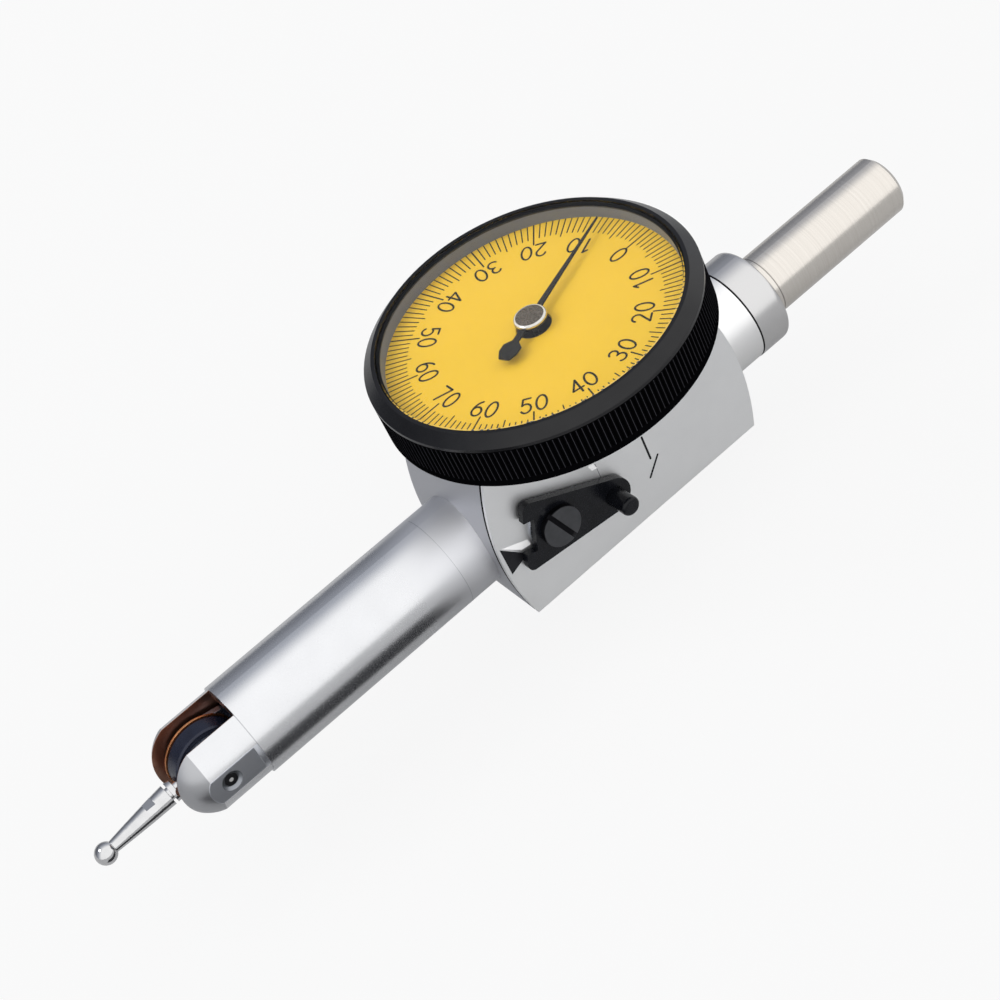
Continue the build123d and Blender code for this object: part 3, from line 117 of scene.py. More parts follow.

# Finishes painted by place: colour and roughness. Some are painted shade, painted highlights or painted
# reflection
COLLAR = ((0.57, 0.565, 0.565), 0.26)
STEM_LINE = ((0.3, 0.28, 0.26), 0.3)
BARREL_ROOT = ((0.66, 0.665, 0.69), 0.5)
BARREL_LINE = ((0.45, 0.46, 0.48), 0.3)
SEAM = ((0.012, 0.012, 0.014), 0.7)
# Painted shade: the bowed front is darker than the rest of the chrome, and rougher
FRONT_PAINTED_SHADE = ((0.5, 0.505, 0.53), 0.5)
BOSS = ((0.82, 0.82, 0.82), 0.42)
# Painted shade: the nose's dome in a darker grey
NOSE_DOME_PAINTED_SHADE = ((0.4, 0.405, 0.42), 0.34)
NOSE_FLAT = ((0.68, 0.7, 0.745), 0.36)
# Painted shade: the seats of the pivot screws in a darker grey
PIVOT_SEAT_PAINTED_SHADE = ((0.26, 0.273, 0.295), 0.36)
SLOT_WALL = ((0.4, 0.22, 0.16), 0.34)
# Painted highlight: bright dot at the centre of each pivot screw
PIVOT_CENTRE_PAINTED_HIGHLIGHT = ((0.75, 0.75, 0.74), 0.2)
# Painted shade: black in the screw's slot and on the side of its head
SCREW_SLOT_PAINTED_SHADE = ((0.012, 0.012, 0.014), 0.6)
# Painted highlight: polished bevel round the hub's top, nearly white
HUB_BEVEL_PAINTED_HIGHLIGHT = ((0.8, 0.79, 0.76), 0.18)
BEZEL_SIDE = ((0.0018, 0.0018, 0.0022), 0.45)
# Painted highlight: pale lines along the knurl's ridges
KNURL_PAINTED_HIGHLIGHT = ((0.035, 0.035, 0.04), 0.3)
# Painted reflection: blue-grey sheen on the bezel's inner wall
INNER_WALL_PAINTED_REFLECTION = ((0.165, 0.18, 0.22), 0.4)

# Grain of the finishes. Depth and edge are in millimetres, and noise scales are per metre
CLOUD_SCALE = 900.0
GRAIN_SCALE = 6000.0
GRAIN_RELIEF = 0.02
GRAIN_DEPTH = 0.02
EDGE_ROUND = 0.06
BEVEL_SAMPLES = 4
NOISE_DETAIL = 3.0
NOISE_LOW = 0.3
NOISE_HIGH = 0.7
GROUND_STRETCH = (9.0, 0.06, 0.06)
RIM_GLOSS = 0.3
SIDE_GLOSS = 0.0
GLASS_IOR = 1.25
GLASS_ROUGHNESS = 0.03
SMEAR_SCALE = 160.0
SMEAR_DETAIL = 2.0

# Camera fitted to the photograph, in millimetres, pixels and radians
CAMERA_PLACE = Vector((-78.72, -140.04, 130.81))
CAMERA_AZIMUTH = math.radians(-18.99)
CAMERA_ELEVATION = math.radians(41.29)
CAMERA_ROLL = math.radians(-27.53)
FOCAL_PIXELS = 2279.19
IMAGE_PIXELS = 1000
SENSOR_WIDTH = 36.0
CLIP_NEAR = 10
CLIP_FAR = 20000

# Dial print, millimetres
DIVISIONS = 140
LONG_STEP = 5
LABEL_STEP = 10
PRINT_LIFT = 0.012
TICK_OUTER = 13.38
TICK_INNER_ONE = 11.5
TICK_INNER_FIVE = 11.1
TICK_INNER_TEN = 10.7
TICK_WIDTH = 0.11
TICK_WIDTH_TEN = 0.14
NUMERAL_RADIUS = 9.78
NUMERAL_HEIGHT = 1.75
NUMERAL_STROKE = 0.19

# A figure's width, and the step to the next one, as shares of its height
FIGURE_WIDTH = 0.6
FIGURE_ADVANCE = 0.76

# Marks on the side cover, by their X and Z in millimetres
MARK_LIFT = 0.012
MARK_WIDTH = 0.2
MARK_LINES = (
    ((-18.7, 1.43), (-18.73, -1.19)),
    ((-17.97, -1.38), (-19.47, -2.94)),
)
MARK_TRIANGLE = ((-34.78, 2.2), (-34.76, -0.93), (-32.7, -0.2))
FAINT_WIDTH = 0.07
FAINT_LINE = ((-23.66, 2.6), (-23.7, -0.2))
# Painted highlights: two pale patches beside the marks, by their X and Z
COVER_PAINTED_HIGHLIGHTS = (
    ((-34.6, 2.15), (-33.0, 0.55), (-32.05, 0.4), (-32.15, 1.05)),
    ((-24.35, 2.9), (-24.15, 2.25), (-23.62, 2.1), (-23.8, 2.8)),
)

# Divisions of round shapes
ARC_STEPS = 14
STROKE_END_STEPS = 5
WIRE_SIDES = 12
LEG_STEPS = 16
BEND_STEPS = 16

# Studio. Places and sizes in millimetres
FLOOR_SIZE = 6000
FLOOR_GAP = 0.4
FLOOR_COLOUR = (0.5, 0.5, 0.5)
FLOOR_WHITE_SHARE = 0.88
MIRRORED_SHARE = 0.05
MATT_ROUGHNESS = 0.9
# Painted shade: a dark card that only reflections show
SHADE_CARD_COLOUR = (0.02, 0.021, 0.024)
CARD_LEFT = -84.0
CARD_RIGHT = -36.0
CARD_FRONT = -25.0
CARD_BACK = -8.0
CARD_LIFT = 0.4
WORLD_STRENGTH = 1.4
WORLD_LEFT_SHADE = 0.25
WORLD_BEHIND = (0.1, 0.108, 0.13)
WORLD_STOPS = (
    (0.2, (0.34, 0.36, 0.41)),
    (0.45, (1.0, 1.0, 1.0)),
    (1.0, (1.0, 1.0, 1.0)),
)
KEY_TARGET = Vector((-30, 0, 0))
KEY_TOWARDS = Vector((-0.5, 0.35, 0.8)).normalized()
KEY_DISTANCE = 500
KEY_WIDTH = 160
KEY_HEIGHT = 120
KEY_WATTS = 0.4


def place_camera():
    """Camera fitted to the photograph, with its roll."""
    sin_a, cos_a = math.sin(CAMERA_AZIMUTH), math.cos(CAMERA_AZIMUTH)
    sin_e, cos_e = math.sin(CAMERA_ELEVATION), math.cos(CAMERA_ELEVATION)
    back = Vector((sin_a * cos_e, -cos_a * cos_e, sin_e))
    level = Vector((cos_a, sin_a, 0))
    upright = back.cross(level)
    right = level * math.cos(CAMERA_ROLL) + upright * math.sin(CAMERA_ROLL)
    up = upright * math.cos(CAMERA_ROLL) - level * math.sin(CAMERA_ROLL)
    data = bpy.data.cameras.new("photo_camera")
    data.sensor_width = SENSOR_WIDTH
    data.lens = SENSOR_WIDTH * FOCAL_PIXELS / IMAGE_PIXELS
    data.clip_start = CLIP_NEAR * MM
    data.clip_end = CLIP_FAR * MM
    camera = bpy.data.objects.new("photo_camera", data)
    bpy.context.scene.collection.objects.link(camera)
    turn = Matrix((right, up, back)).transposed().to_4x4()
    camera.matrix_world = Matrix.Translation(CAMERA_PLACE * MM) @ turn
    bpy.context.scene.camera = camera


# Materials


class NodeTree:
    """Short calls for the nodes of a material or of the world."""

    def __init__(self, tree):
        self.tree = tree

    def node(self, kind, **values):
        made = self.tree.nodes.new(kind)
        for key, value in values.items():
            setattr(made, key, value)
        return made

    def link(self, source, target):
        self.tree.links.new(source, target)

    def maths(self, operation, *values):
        """Math node over numbers and sockets."""
        made = self.node("ShaderNodeMath", operation=operation)
        for socket, value in zip(made.inputs, values):
            if isinstance(value, (int, float)):
                socket.default_value = value
            else:
                self.link(value, socket)
        return made.outputs["Value"]

    def mix_shaders(self, factor, first, second, output):
        """Two shaders mixed into the output node named."""
        made = self.node("ShaderNodeMixShader")
        self.link(factor, made.inputs["Fac"])
        self.link(first, made.inputs[1])
        self.link(second, made.inputs[2])
        self.link(made.outputs["Shader"], self.tree.nodes[output].inputs["Surface"])

    def white_share(self, share):
        """This share of white for the camera and through glass, and a small share of it in metal."""
        path = self.node("ShaderNodeLightPath").outputs
        seen = self.maths("MAXIMUM", path["Is Camera Ray"], path["Is Transmission Ray"])
        direct = self.maths("MULTIPLY", seen, share)
        return self.maths("MULTIPLY_ADD", path["Is Glossy Ray"], MIRRORED_SHARE, direct)


class Shader(NodeTree):
    """A material with a Principled shader."""

    def __init__(self, name):
        self.material = bpy.data.materials.new(name)
        self.material.use_nodes = True
        super().__init__(self.material.node_tree)
        self.bsdf = self.tree.nodes["Principled BSDF"]
        self.colour = None
        self.roughness = None

    def set(self, **sockets):
        for key, value in sockets.items():
            self.bsdf.inputs[key.replace("_", " ")].default_value = value

    def coordinates(self, stretch):
        """Object coordinates in metres, scaled along each axis."""
        source = self.node("ShaderNodeTexCoord")
        mapping = self.node("ShaderNodeMapping")
        mapping.inputs["Scale"].default_value = stretch
        self.link(source.outputs["Object"], mapping.inputs["Vector"])
        return mapping.outputs["Vector"]

    def place(self):
        """The X, Y and Z of the surface in the CAD frame, metres."""
        source = self.node("ShaderNodeTexCoord")
        split = self.node("ShaderNodeSeparateXYZ")
        self.link(source.outputs["Object"], split.inputs["Vector"])
        return split.outputs

    def distance_squared(self, centre_x, other):
        """Square of the distance, over X and the other axis named, from an axis at this X."""
        place = self.place()
        across = self.maths("SUBTRACT", place["X"], centre_x * MM)
        aside = self.maths("MULTIPLY", place[other], place[other])
        return self.maths("MULTIPLY_ADD", across, across, aside)

    def noise(self, vector, scale, detail=NOISE_DETAIL):
        made = self.node("ShaderNodeTexNoise")
        made.inputs["Scale"].default_value = scale
        made.inputs["Detail"].default_value = detail
        self.link(vector, made.inputs["Vector"])
        return made.outputs["Fac"]

    def spread(self, value, low, high):
        """A noise value taken to the range from low to high."""
        made = self.node("ShaderNodeMapRange")
        made.inputs["From Min"].default_value = NOISE_LOW
        made.inputs["From Max"].default_value = NOISE_HIGH
        made.inputs["To Min"].default_value = low
        made.inputs["To Max"].default_value = high
        self.link(value, made.inputs["Value"])
        return made.outputs["Result"]

    def ramp(self, value, low, high):
        """A place taken to 0 at low and 1 at high."""
        made = self.node("ShaderNodeMapRange", interpolation_type="SMOOTHSTEP")
        made.inputs["From Min"].default_value = low
        made.inputs["From Max"].default_value = high
        self.link(value, made.inputs["Value"])
        return made.outputs["Result"]

    def blend(self, factor, first, second):
        """Mix of two colours, each a colour or a socket."""
        made = self.node("ShaderNodeMix", data_type="RGBA")
        sockets = [socket for socket in made.inputs if socket.type == "RGBA"]
        for socket, value in zip(sockets, (first, second)):
            if isinstance(value, tuple):
                socket.default_value = (*value, 1)
            else:
                self.link(value, socket)
        self.link(factor, made.inputs["Factor"])
        return next(socket for socket in made.outputs if socket.type == "RGBA")

    def finish(self, colour, roughness):
        self.colour = colour
        self.roughness = roughness
        self.link(colour, self.bsdf.inputs["Base Color"])
        self.link(roughness, self.bsdf.inputs["Roughness"])

    def paint(self, mask, colour, roughness):
        """Another colour and roughness where the mask is 1."""
        change = self.maths("SUBTRACT", roughness, self.roughness)
        mixed = self.blend(mask, self.colour, colour)
        self.finish(mixed, self.maths("MULTIPLY_ADD", mask, change, self.roughness))

    def bump(self, height, strength, edge):
        """Bump from a height, over edges rounded by the bevel node where an edge is given."""
        made = self.node("ShaderNodeBump")
        made.inputs["Strength"].default_value = strength
        made.inputs["Distance"].default_value = GRAIN_DEPTH * MM
        self.link(height, made.inputs["Height"])
        if edge:
            bevel = self.node("ShaderNodeBevel", samples=BEVEL_SAMPLES)
            bevel.inputs["Radius"].default_value = edge * MM
            self.link(bevel.outputs["Normal"], made.inputs["Normal"])
        self.link(made.outputs["Normal"], self.bsdf.inputs["Normal"])


def surface(name, colour, other, rough, metallic=0.0, stretch=(1, 1, 1), cloud=CLOUD_SCALE, grain=GRAIN_SCALE,
            relief=GRAIN_RELIEF, edge=EDGE_ROUND, **sockets):
    """Shader with a clouded colour, a roughness that varies, fine relief and softened edges."""
    shader = Shader(name)
    vector = shader.coordinates(stretch)
    clouds = shader.spread(shader.noise(vector, cloud), 0.0, 1.0)
    grains = shader.noise(vector, grain)
    shader.finish(shader.blend(clouds, colour, other), shader.spread(grains, *rough))
    shader.bump(grains, relief, edge)
    shader.set(Metallic=metallic, **sockets)
    return shader


def glass(name, colour, tint):
    """Clear crystal that lets light through to what lies under it."""
    shader = Shader(name)
    smear = shader.noise(shader.coordinates((1, 1, 1)), SMEAR_SCALE, SMEAR_DETAIL)
    clouded = shader.blend(shader.spread(smear, 0.0, 1.0), colour, tint)
    shader.finish(clouded, shader.spread(smear, 0.0, GLASS_ROUGHNESS))
    shader.set(IOR=GLASS_IOR, Transmission_Weight=1.0)
    shadow = shader.node("ShaderNodeLightPath").outputs["Is Shadow Ray"]
    clear = shader.node("ShaderNodeBsdfTransparent").outputs["BSDF"]
    shader.mix_shaders(shadow, shader.bsdf.outputs["BSDF"], clear, "Material Output")
    return shader


def ground_steel():
    """Warm ground stem with a line turned round it, and a cooler collar."""
    shader = surface("ground_steel", (0.62, 0.585, 0.54), (0.68, 0.645, 0.6), (0.2, 0.27), 1.0,
                     GROUND_STRETCH, cloud=500.0, grain=900.0, relief=0.015)
    along = shader.place()["X"]
    shader.paint(shader.maths("LESS_THAN", along, COLLAR_X * MM), *COLLAR)
    shader.paint(shader.maths("COMPARE", along, STEM_LINE_X * MM, STEM_LINE_HALF * MM), *STEM_LINE)
    return shader


def barrel_chrome():
    """Satin chrome, duller towards the root, with a fine line turned round the barrel there."""
    shader = satin_chrome("barrel_chrome")
    along = shader.place()["X"]
    shader.paint(shader.ramp(along, BARREL_DULL_FROM * MM, BARREL_DULL_TO * MM), *BARREL_ROOT)
    shader.paint(shader.maths("COMPARE", along, BARREL_LINE_X * MM, BARREL_LINE_HALF * MM), *BARREL_LINE)
    return shader


def satin_chrome(name):
    return surface(name, (0.64, 0.645, 0.66), (0.67, 0.675, 0.69), (0.22, 0.28), 1.0, cloud=300.0,
                   grain=9000.0, relief=0.008)


def cover_steel(name):
    return surface(name, (0.79, 0.795, 0.8), (0.82, 0.825, 0.83), (0.42, 0.5), 1.0, cloud=260.0,
                   grain=9000.0)


def darken_seam(shader):
    """Dark line where the side cover meets the housing."""
    side = shader.place()["Y"]
    shader.paint(shader.maths("COMPARE", side, HOUSING_LOW.y * MM, SEAM_HALF_WIDTH * MM), *SEAM)


def housing_chrome():
    """Satin chrome, rougher on the bowed front and the boss, with painted shade darkening the bowed front,
    and a dark joint against the stem's collar.
    """
    shader = satin_chrome("housing_chrome")
    along = shader.place()["X"]
    # Painted shade: darker and rougher colour on the bowed front
    shader.paint(shader.maths("LESS_THAN", along, FRONT_X * MM), *FRONT_PAINTED_SHADE)
    shader.paint(shader.maths("GREATER_THAN", along, BOSS_X * MM), *BOSS)
    shader.paint(shader.maths("GREATER_THAN", along, BOSS_JOINT_X * MM), *SEAM)
    return shader


def nose_chrome():
    """Satin chrome with flats, painted shade greying the dome and the seats of the pivot screws, and brown
    slot walls.
    """
    shader = satin_chrome("nose_chrome")
    place = shader.place()
    side = place["Y"]
    # Painted shade: the dome darker grey
    shader.paint(shader.maths("LESS_THAN", place["X"], NOSE_DOME_X * MM), *NOSE_DOME_PAINTED_SHADE)
    shader.paint(shader.maths("GREATER_THAN", shader.maths("ABSOLUTE", side), NOSE_FLAT_Y * MM), *NOSE_FLAT)
    squares = shader.distance_squared(PIVOT_X, "Z")
    # Painted shade: the countersinks round the pivot screws darker grey
    shader.paint(shader.maths("LESS_THAN", squares, (PIVOT_SEAT_RADIUS * MM) ** 2), *PIVOT_SEAT_PAINTED_SHADE)
    slot_middle = (SLOT_FAR_Y + SLOT_NEAR_Y) / 2
    slot_half = (SLOT_FAR_Y - SLOT_NEAR_Y) / 2 + SLOT_MARGIN
    shader.paint(shader.maths("COMPARE", side, slot_middle * MM, slot_half * MM), *SLOT_WALL)
    return shader


def pivot_steel():
    """Screw in painted shade, near black for the shaded gap round it, with a painted highlight as a bright
    dot at its centre.
    """
    # Painted shade: the whole screw near black
    shader = surface("pivot_steel", (0.012, 0.012, 0.014), (0.02, 0.02, 0.022), (0.3, 0.4), 0.6)
    squares = shader.distance_squared(PIVOT_X, "Z")
    # Painted highlight: bright dot at the screw's centre
    shader.paint(shader.maths("LESS_THAN", squares, (PIVOT_CENTRE_RADIUS * MM) ** 2), *PIVOT_CENTRE_PAINTED_HIGHLIGHT)
    return shader


def slotted_steel():
    """Dark screw steel, with painted shade blackening the slot and the side of the head."""
    shader = surface("slotted_steel", (0.07, 0.072, 0.077), (0.09, 0.092, 0.098), (0.3, 0.4), 1.0,
                     relief=0.006)
    # Painted shade: everything deeper than the head's face is black
    slot_y = corners("clutch_screw")[0].y + SCREW_FACE_DEPTH
    shader.paint(shader.maths("GREATER_THAN", shader.place()["Y"], slot_y * MM), *SCREW_SLOT_PAINTED_SHADE)
    return shader


def hub_brass():
    """Darkened brass with a polished bevel round its top, made nearly white as a painted highlight."""
    shader = surface("hub_brass", (0.1, 0.085, 0.07), (0.14, 0.12, 0.1), (0.22, 0.32), 1.0)
    squares = shader.distance_squared(DIAL_X, "Y")
    outside = shader.maths("GREATER_THAN", squares, (HUB_BEVEL_RADIUS * MM) ** 2)
    bevel_z = corners("pointer_hub")[1].z - HUB_BEVEL_DEPTH
    above = shader.maths("GREATER_THAN", shader.place()["Z"], bevel_z * MM)
    # Painted highlight: pale ring on the hub's bevel
    shader.paint(shader.maths("MULTIPLY", outside, above), *HUB_BEVEL_PAINTED_HIGHLIGHT)
    return shader


def knurled_black():
    """Black anodised aluminium: a deep black knurled side with pale lines on its ridges as painted
    highlights, a satin rim, and painted reflection on the inner wall.
    """
    shader = surface("knurled_black", (0.004, 0.004, 0.005), (0.007, 0.007, 0.008), (0.2, 0.26), cloud=500.0,
                     relief=0.003)
    place = shader.place()
    turn = shader.maths("ARCTAN2", place["Y"], shader.maths("SUBTRACT", place["X"], DIAL_X * MM))
    tooth = shader.maths("FRACT", shader.maths("MULTIPLY", turn, KNURL_COUNT / (2 * math.pi)))
    ridge = shader.maths("COMPARE", tooth, 0.5, KNURL_LINE_SHARE / 2)
    middle = (KNURL_LOW + KNURL_HIGH) / 2
    half_height = (KNURL_HIGH - KNURL_LOW) / 2
    band = shader.maths("COMPARE", place["Z"], middle * MM, half_height * MM)
    squares = shader.distance_squared(DIAL_X, "Y")
    outside = shader.maths("GREATER_THAN", squares, (KNURL_RADIUS * MM) ** 2)
    below = shader.maths("LESS_THAN", place["Z"], RIM_Z * MM)
    side = shader.maths("MULTIPLY", outside, below)
    shader.paint(side, *BEZEL_SIDE)
    # Painted highlight: pale lines along the ridges of the knurl
    shader.paint(shader.maths("MULTIPLY", shader.maths("MULTIPLY", ridge, band), outside), *KNURL_PAINTED_HIGHLIGHT)
    # Painted reflection: blue-grey sheen on the inner wall of the bezel
    shader.paint(shader.maths("LESS_THAN", squares, (INNER_WALL_RADIUS * MM) ** 2), *INNER_WALL_PAINTED_REFLECTION)
    gloss = shader.maths("MULTIPLY_ADD", side, SIDE_GLOSS - RIM_GLOSS, RIM_GLOSS)
    shader.link(gloss, shader.bsdf.inputs["Specular IOR Level"])
    return shader


# A finish for each material slot of the record
FINISHES = {
    "ground_steel": ground_steel(),
    "satin_chrome": satin_chrome("satin_chrome"),
    "cover_steel": cover_steel("cover_steel"),
    "polished_chrome": surface("polished_chrome", (0.56, 0.56, 0.565), (0.62, 0.62, 0.625), (0.05, 0.1), 1.0,
                               relief=0.01),
    "lever_steel": surface("lever_steel", (0.26, 0.3, 0.37), (0.33, 0.37, 0.44), (0.25, 0.4), 1.0),
    "blued_steel": surface("blued_steel", (0.01, 0.012, 0.026), (0.016, 0.02, 0.04), (0.22, 0.34), 0.4),
    "bronze": surface("bronze", (0.62, 0.25, 0.1), (0.72, 0.33, 0.15), (0.25, 0.4), 1.0),
    "movement_steel": surface("movement_steel", (0.5, 0.51, 0.53), (0.58, 0.59, 0.61), (0.2, 0.35), 1.0),
    "movement_brass": surface("movement_brass", (0.7, 0.5, 0.2), (0.76, 0.57, 0.26), (0.25, 0.38), 1.0),
    "dark_brass": surface("dark_brass", (0.13, 0.11, 0.09), (0.18, 0.155, 0.13), (0.22, 0.32), 1.0),
    "spring_steel": surface("spring_steel", (0.36, 0.38, 0.43), (0.44, 0.46, 0.5), (0.18, 0.3), 1.0),
    "case_aluminium": surface("case_aluminium", (0.02, 0.02, 0.022), (0.028, 0.028, 0.03), (0.4, 0.5)),
    "black_anodised": surface("black_anodised", (0.006, 0.006, 0.007), (0.01, 0.01, 0.012), (0.28, 0.38),
                              cloud=500.0, Specular_IOR_Level=0.3),
    "black_oxide": surface("black_oxide", (0.003, 0.0035, 0.005), (0.006, 0.0065, 0.009), (0.2, 0.3),
                           relief=0.004, Specular_IOR_Level=0.2),
    "crystal_glass": glass("crystal_glass", (0.97, 0.98, 0.985), (0.985, 0.985, 0.98)),
    "gasket_rubber": surface("gasket_rubber", (0.02, 0.02, 0.02), (0.03, 0.03, 0.03), (0.6, 0.8)),
    "yellow_dial": surface("yellow_dial", (0.84, 0.525, 0.024), (0.87, 0.545, 0.034), (0.45, 0.55),
                           cloud=120.0, grain=5000.0, relief=0.01, Specular_IOR_Level=0.2),
    "black_pointer": surface("black_pointer", (0.004, 0.004, 0.004), (0.008, 0.008, 0.008), (0.35, 0.5),
                             Specular_IOR_Level=0.15),
    "slip_plastic": surface("slip_plastic", (0.78, 0.78, 0.75), (0.84, 0.84, 0.81), (0.5, 0.65)),
    "ruby": surface("ruby", (0.4, 0.01, 0.04), (0.55, 0.03, 0.08), (0.05, 0.12), Coat_Weight=0.5),
}

# Finishes of nodes that are painted by place, painted shade, highlights and reflection among them
HOUSING = housing_chrome()
COVER = cover_steel("cover_face")
darken_seam(HOUSING)
darken_seam(COVER)
NODE_FINISHES = {
    "housing": HOUSING,
    "side_cover": COVER,
    "barrel_tube": barrel_chrome(),
    "pointer_hub": hub_brass(),
    "nose_fork": nose_chrome(),
    "pivot_screws": pivot_steel(),
    "clutch_screw": slotted_steel(),
    "bezel_ring": knurled_black(),
}

# Finishes of the thin pieces made here, one of them a painted highlight
INK = surface("dial_ink", (0.006, 0.005, 0.004), (0.012, 0.01, 0.008), (0.55, 0.7), edge=0.0,
              Specular_IOR_Level=0.2)
ENGRAVED = surface("engraved_line", (0.006, 0.006, 0.008), (0.012, 0.012, 0.015), (0.5, 0.65), edge=0.0,
                   Specular_IOR_Level=0.2)
SCRIBED = surface("scribed_line", (0.2, 0.2, 0.21), (0.26, 0.26, 0.27), (0.4, 0.5), edge=0.0)
# Painted highlight: near-white paint for the patches on the cover
COVER_HIGHLIGHT_PAINT = surface("painted_highlight_white", (0.94, 0.94, 0.94), (0.98, 0.98, 0.98), (0.4, 0.5), edge=0.0)


def dress_nodes():
    """Each CAD node takes a finish of its own, or that of its material slot in the record."""
    for part in frame["record"]["subparts"]:
        node = nodes[part["node"]]
        shader = NODE_FINISHES.get(part["node"], FINISHES[part["material_slot"]])
        node.data.materials.clear()
        node.data.materials.append(shader.material)


# Pieces made here


def new_piece(name, mesh, shader, body):
    """Object from a bmesh in millimetres, riding on a body where one is named."""
    bmesh.ops.scale(mesh, vec=(MM, MM, MM), verts=mesh.verts)
    bmesh.ops.recalc_face_normals(mesh, faces=mesh.faces)
    data = bpy.data.meshes.new(name)
    mesh.to_mesh(data)
    mesh.free()
    data.materials.append(shader.material)
    piece = bpy.data.objects.new(name, data)
    bpy.context.scene.collection.objects.link(piece)
    if body:
        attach(piece, body)
    return piece


def add_stroke(mesh, points, width, place, thickness):
    """Ribbon of a pen stroke with round ends, raised as a thin slab. place takes (x, y, height) to space."""
    left, right = [], []
    count = len(points)
    for i, point in enumerate(points):
        before = points[max(i - 1, 0)]
        after = points[min(i + 1, count - 1)]
        along = (after - before).normalized()
        side = Vector((-along.y, along.x)) * width / 2
        left.append(point + side)
        right.append(point - side)
    outline = list(left)
    for centre, start in ((points[-1], left[-1]), (points[0], right[0])):
        spoke = start - centre
        for step in range(1, STROKE_END_STEPS):
            angle = -math.pi * step / STROKE_END_STEPS
            turned = Vector((spoke.x * math.cos(angle) - spoke.y * math.sin(angle),
                             spoke.x * math.sin(angle) + spoke.y * math.cos(angle)))
            outline.append(centre + turned)
        if centre is points[-1]:
            outline.extend(reversed(right))
    low = [mesh.verts.new(place(p.x, p.y, 0.0)) for p in outline]
    high = [mesh.verts.new(place(p.x, p.y, thickness)) for p in outline]
    join_rings(mesh, low, high)
    tail = STROKE_END_STEPS - 1
    for ring in (low, high):
        lefts = ring[:count]
        front = ring[count:count + tail]
        rights = list(reversed(ring[count + tail:2 * count + tail]))
        rear = ring[2 * count + tail:]
        for i in range(count - 1):
            mesh.faces.new((lefts[i], lefts[i + 1], rights[i + 1], rights[i]))
        mesh.faces.new((lefts[-1], *front, rights[-1]))
        mesh.faces.new((rights[0], *rear, lefts[0]))


def join_rings(mesh, first, second):
    """Band of faces between two rings of as many vertices."""
    count = len(first)
    for i in range(count):
        j = (i + 1) % count
        mesh.faces.new((first[i], first[j], second[j], second[i]))


def arc(x, y, rx, ry, start, end, count=ARC_STEPS):
    """Points along part of an ellipse, angles in degrees."""
    steps = [math.radians(start + (end - start) * i / count) for i in range(count + 1)]
    return [Vector((x + rx * math.cos(a), y + ry * math.sin(a))) for a in steps]


def pen(*points):
    return [Vector(p) for p in points]


# Pen strokes of the dial's figures, in a box 1 high and as wide as FIGURE_WIDTH
FIGURES = {
    "0": [arc(0.3, 0.5, 0.26, 0.48, 90, 450, 28)],
    "1": [pen((0.14, 0.8), (0.34, 0.98)), pen((0.34, 0.98), (0.34, 0.02))],
    "2": [arc(0.3, 0.72, 0.24, 0.26, 165, -35) + pen((0.05, 0.03)), pen((0.05, 0.03), (0.56, 0.03))],
    "3": [arc(0.28, 0.755, 0.22, 0.225, 150, -90), arc(0.28, 0.275, 0.26, 0.255, 90, -150)],
    "4": [pen((0.43, 0.02), (0.43, 0.98)), pen((0.43, 0.98), (0.04, 0.3)), pen((0.04, 0.3), (0.6, 0.3))],
    "5": [pen((0.52, 0.97), (0.15, 0.97)), pen((0.15, 0.97), (0.1, 0.55)),
          arc(0.28, 0.325, 0.26, 0.305, 132, -150)],
    "6": [arc(0.3, 0.3, 0.25, 0.28, 0, 360, 24), arc(0.62, 0.3, 0.57, 0.68, 112, 180)],
    "7": [pen((0.05, 0.97), (0.55, 0.97)), pen((0.55, 0.97), (0.22, 0.02))],
}


def dial_ticks():
    """Divisions of the dial, longer at every five and ten."""
    mesh = bmesh.new()
    for index in range(DIVISIONS):
        inner = TICK_INNER_ONE
        width = TICK_WIDTH
        if index % LONG_STEP == 0:
            inner = TICK_INNER_FIVE
        if index % LABEL_STEP == 0:
            inner = TICK_INNER_TEN
            width = TICK_WIDTH_TEN
        turn = Matrix.Rotation(-2 * math.pi * index / DIVISIONS, 3, "Z")

        def place(x, y, height):
            return turn @ Vector((x, y, 0)) + Vector((DIAL_X, 0, DIAL_HIGH.z + height))

        add_stroke(mesh, pen((inner, 0), (TICK_OUTER, 0)), width, place, PRINT_LIFT)
    new_piece("dial_divisions", mesh, INK, "bezel")


def dial_numerals():
    """Figures at every ten, counted both ways from nought, with their feet towards the rim."""
    mesh = bmesh.new()
    half_turn = DIVISIONS // 2
    for index in range(0, DIVISIONS, LABEL_STEP):
        label = str(index if index <= half_turn else DIVISIONS - index)
        width = FIGURE_ADVANCE * (len(label) - 1) + FIGURE_WIDTH
        turn = Matrix.Rotation(math.pi / 2 - 2 * math.pi * index / DIVISIONS, 3, "Z")
        for position, figure in enumerate(label):
            shift = position * FIGURE_ADVANCE - width / 2

            def place(x, y, height):
                flat = Vector(((x + shift) * NUMERAL_HEIGHT, (y - 0.5) * NUMERAL_HEIGHT - NUMERAL_RADIUS, 0))
                return turn @ flat + Vector((DIAL_X, 0, DIAL_HIGH.z + height))

            for stroke in FIGURES[figure]:
                add_stroke(mesh, stroke, NUMERAL_STROKE / NUMERAL_HEIGHT, place, PRINT_LIFT)
    new_piece("dial_numerals", mesh, INK, "bezel")


def cover_place(x, z, height):
    return Vector((x, COVER_LOW.y - height, z))


def add_slab(mesh, outline, thickness):
    """Thin slab on the side cover with the outline given."""
    low = [mesh.verts.new(cover_place(x, z, 0)) for x, z in outline]
    high = [mesh.verts.new(cover_place(x, z, thickness)) for x, z in outline]
    mesh.faces.new(low)
    mesh.faces.new(high)
    join_rings(mesh, low, high)


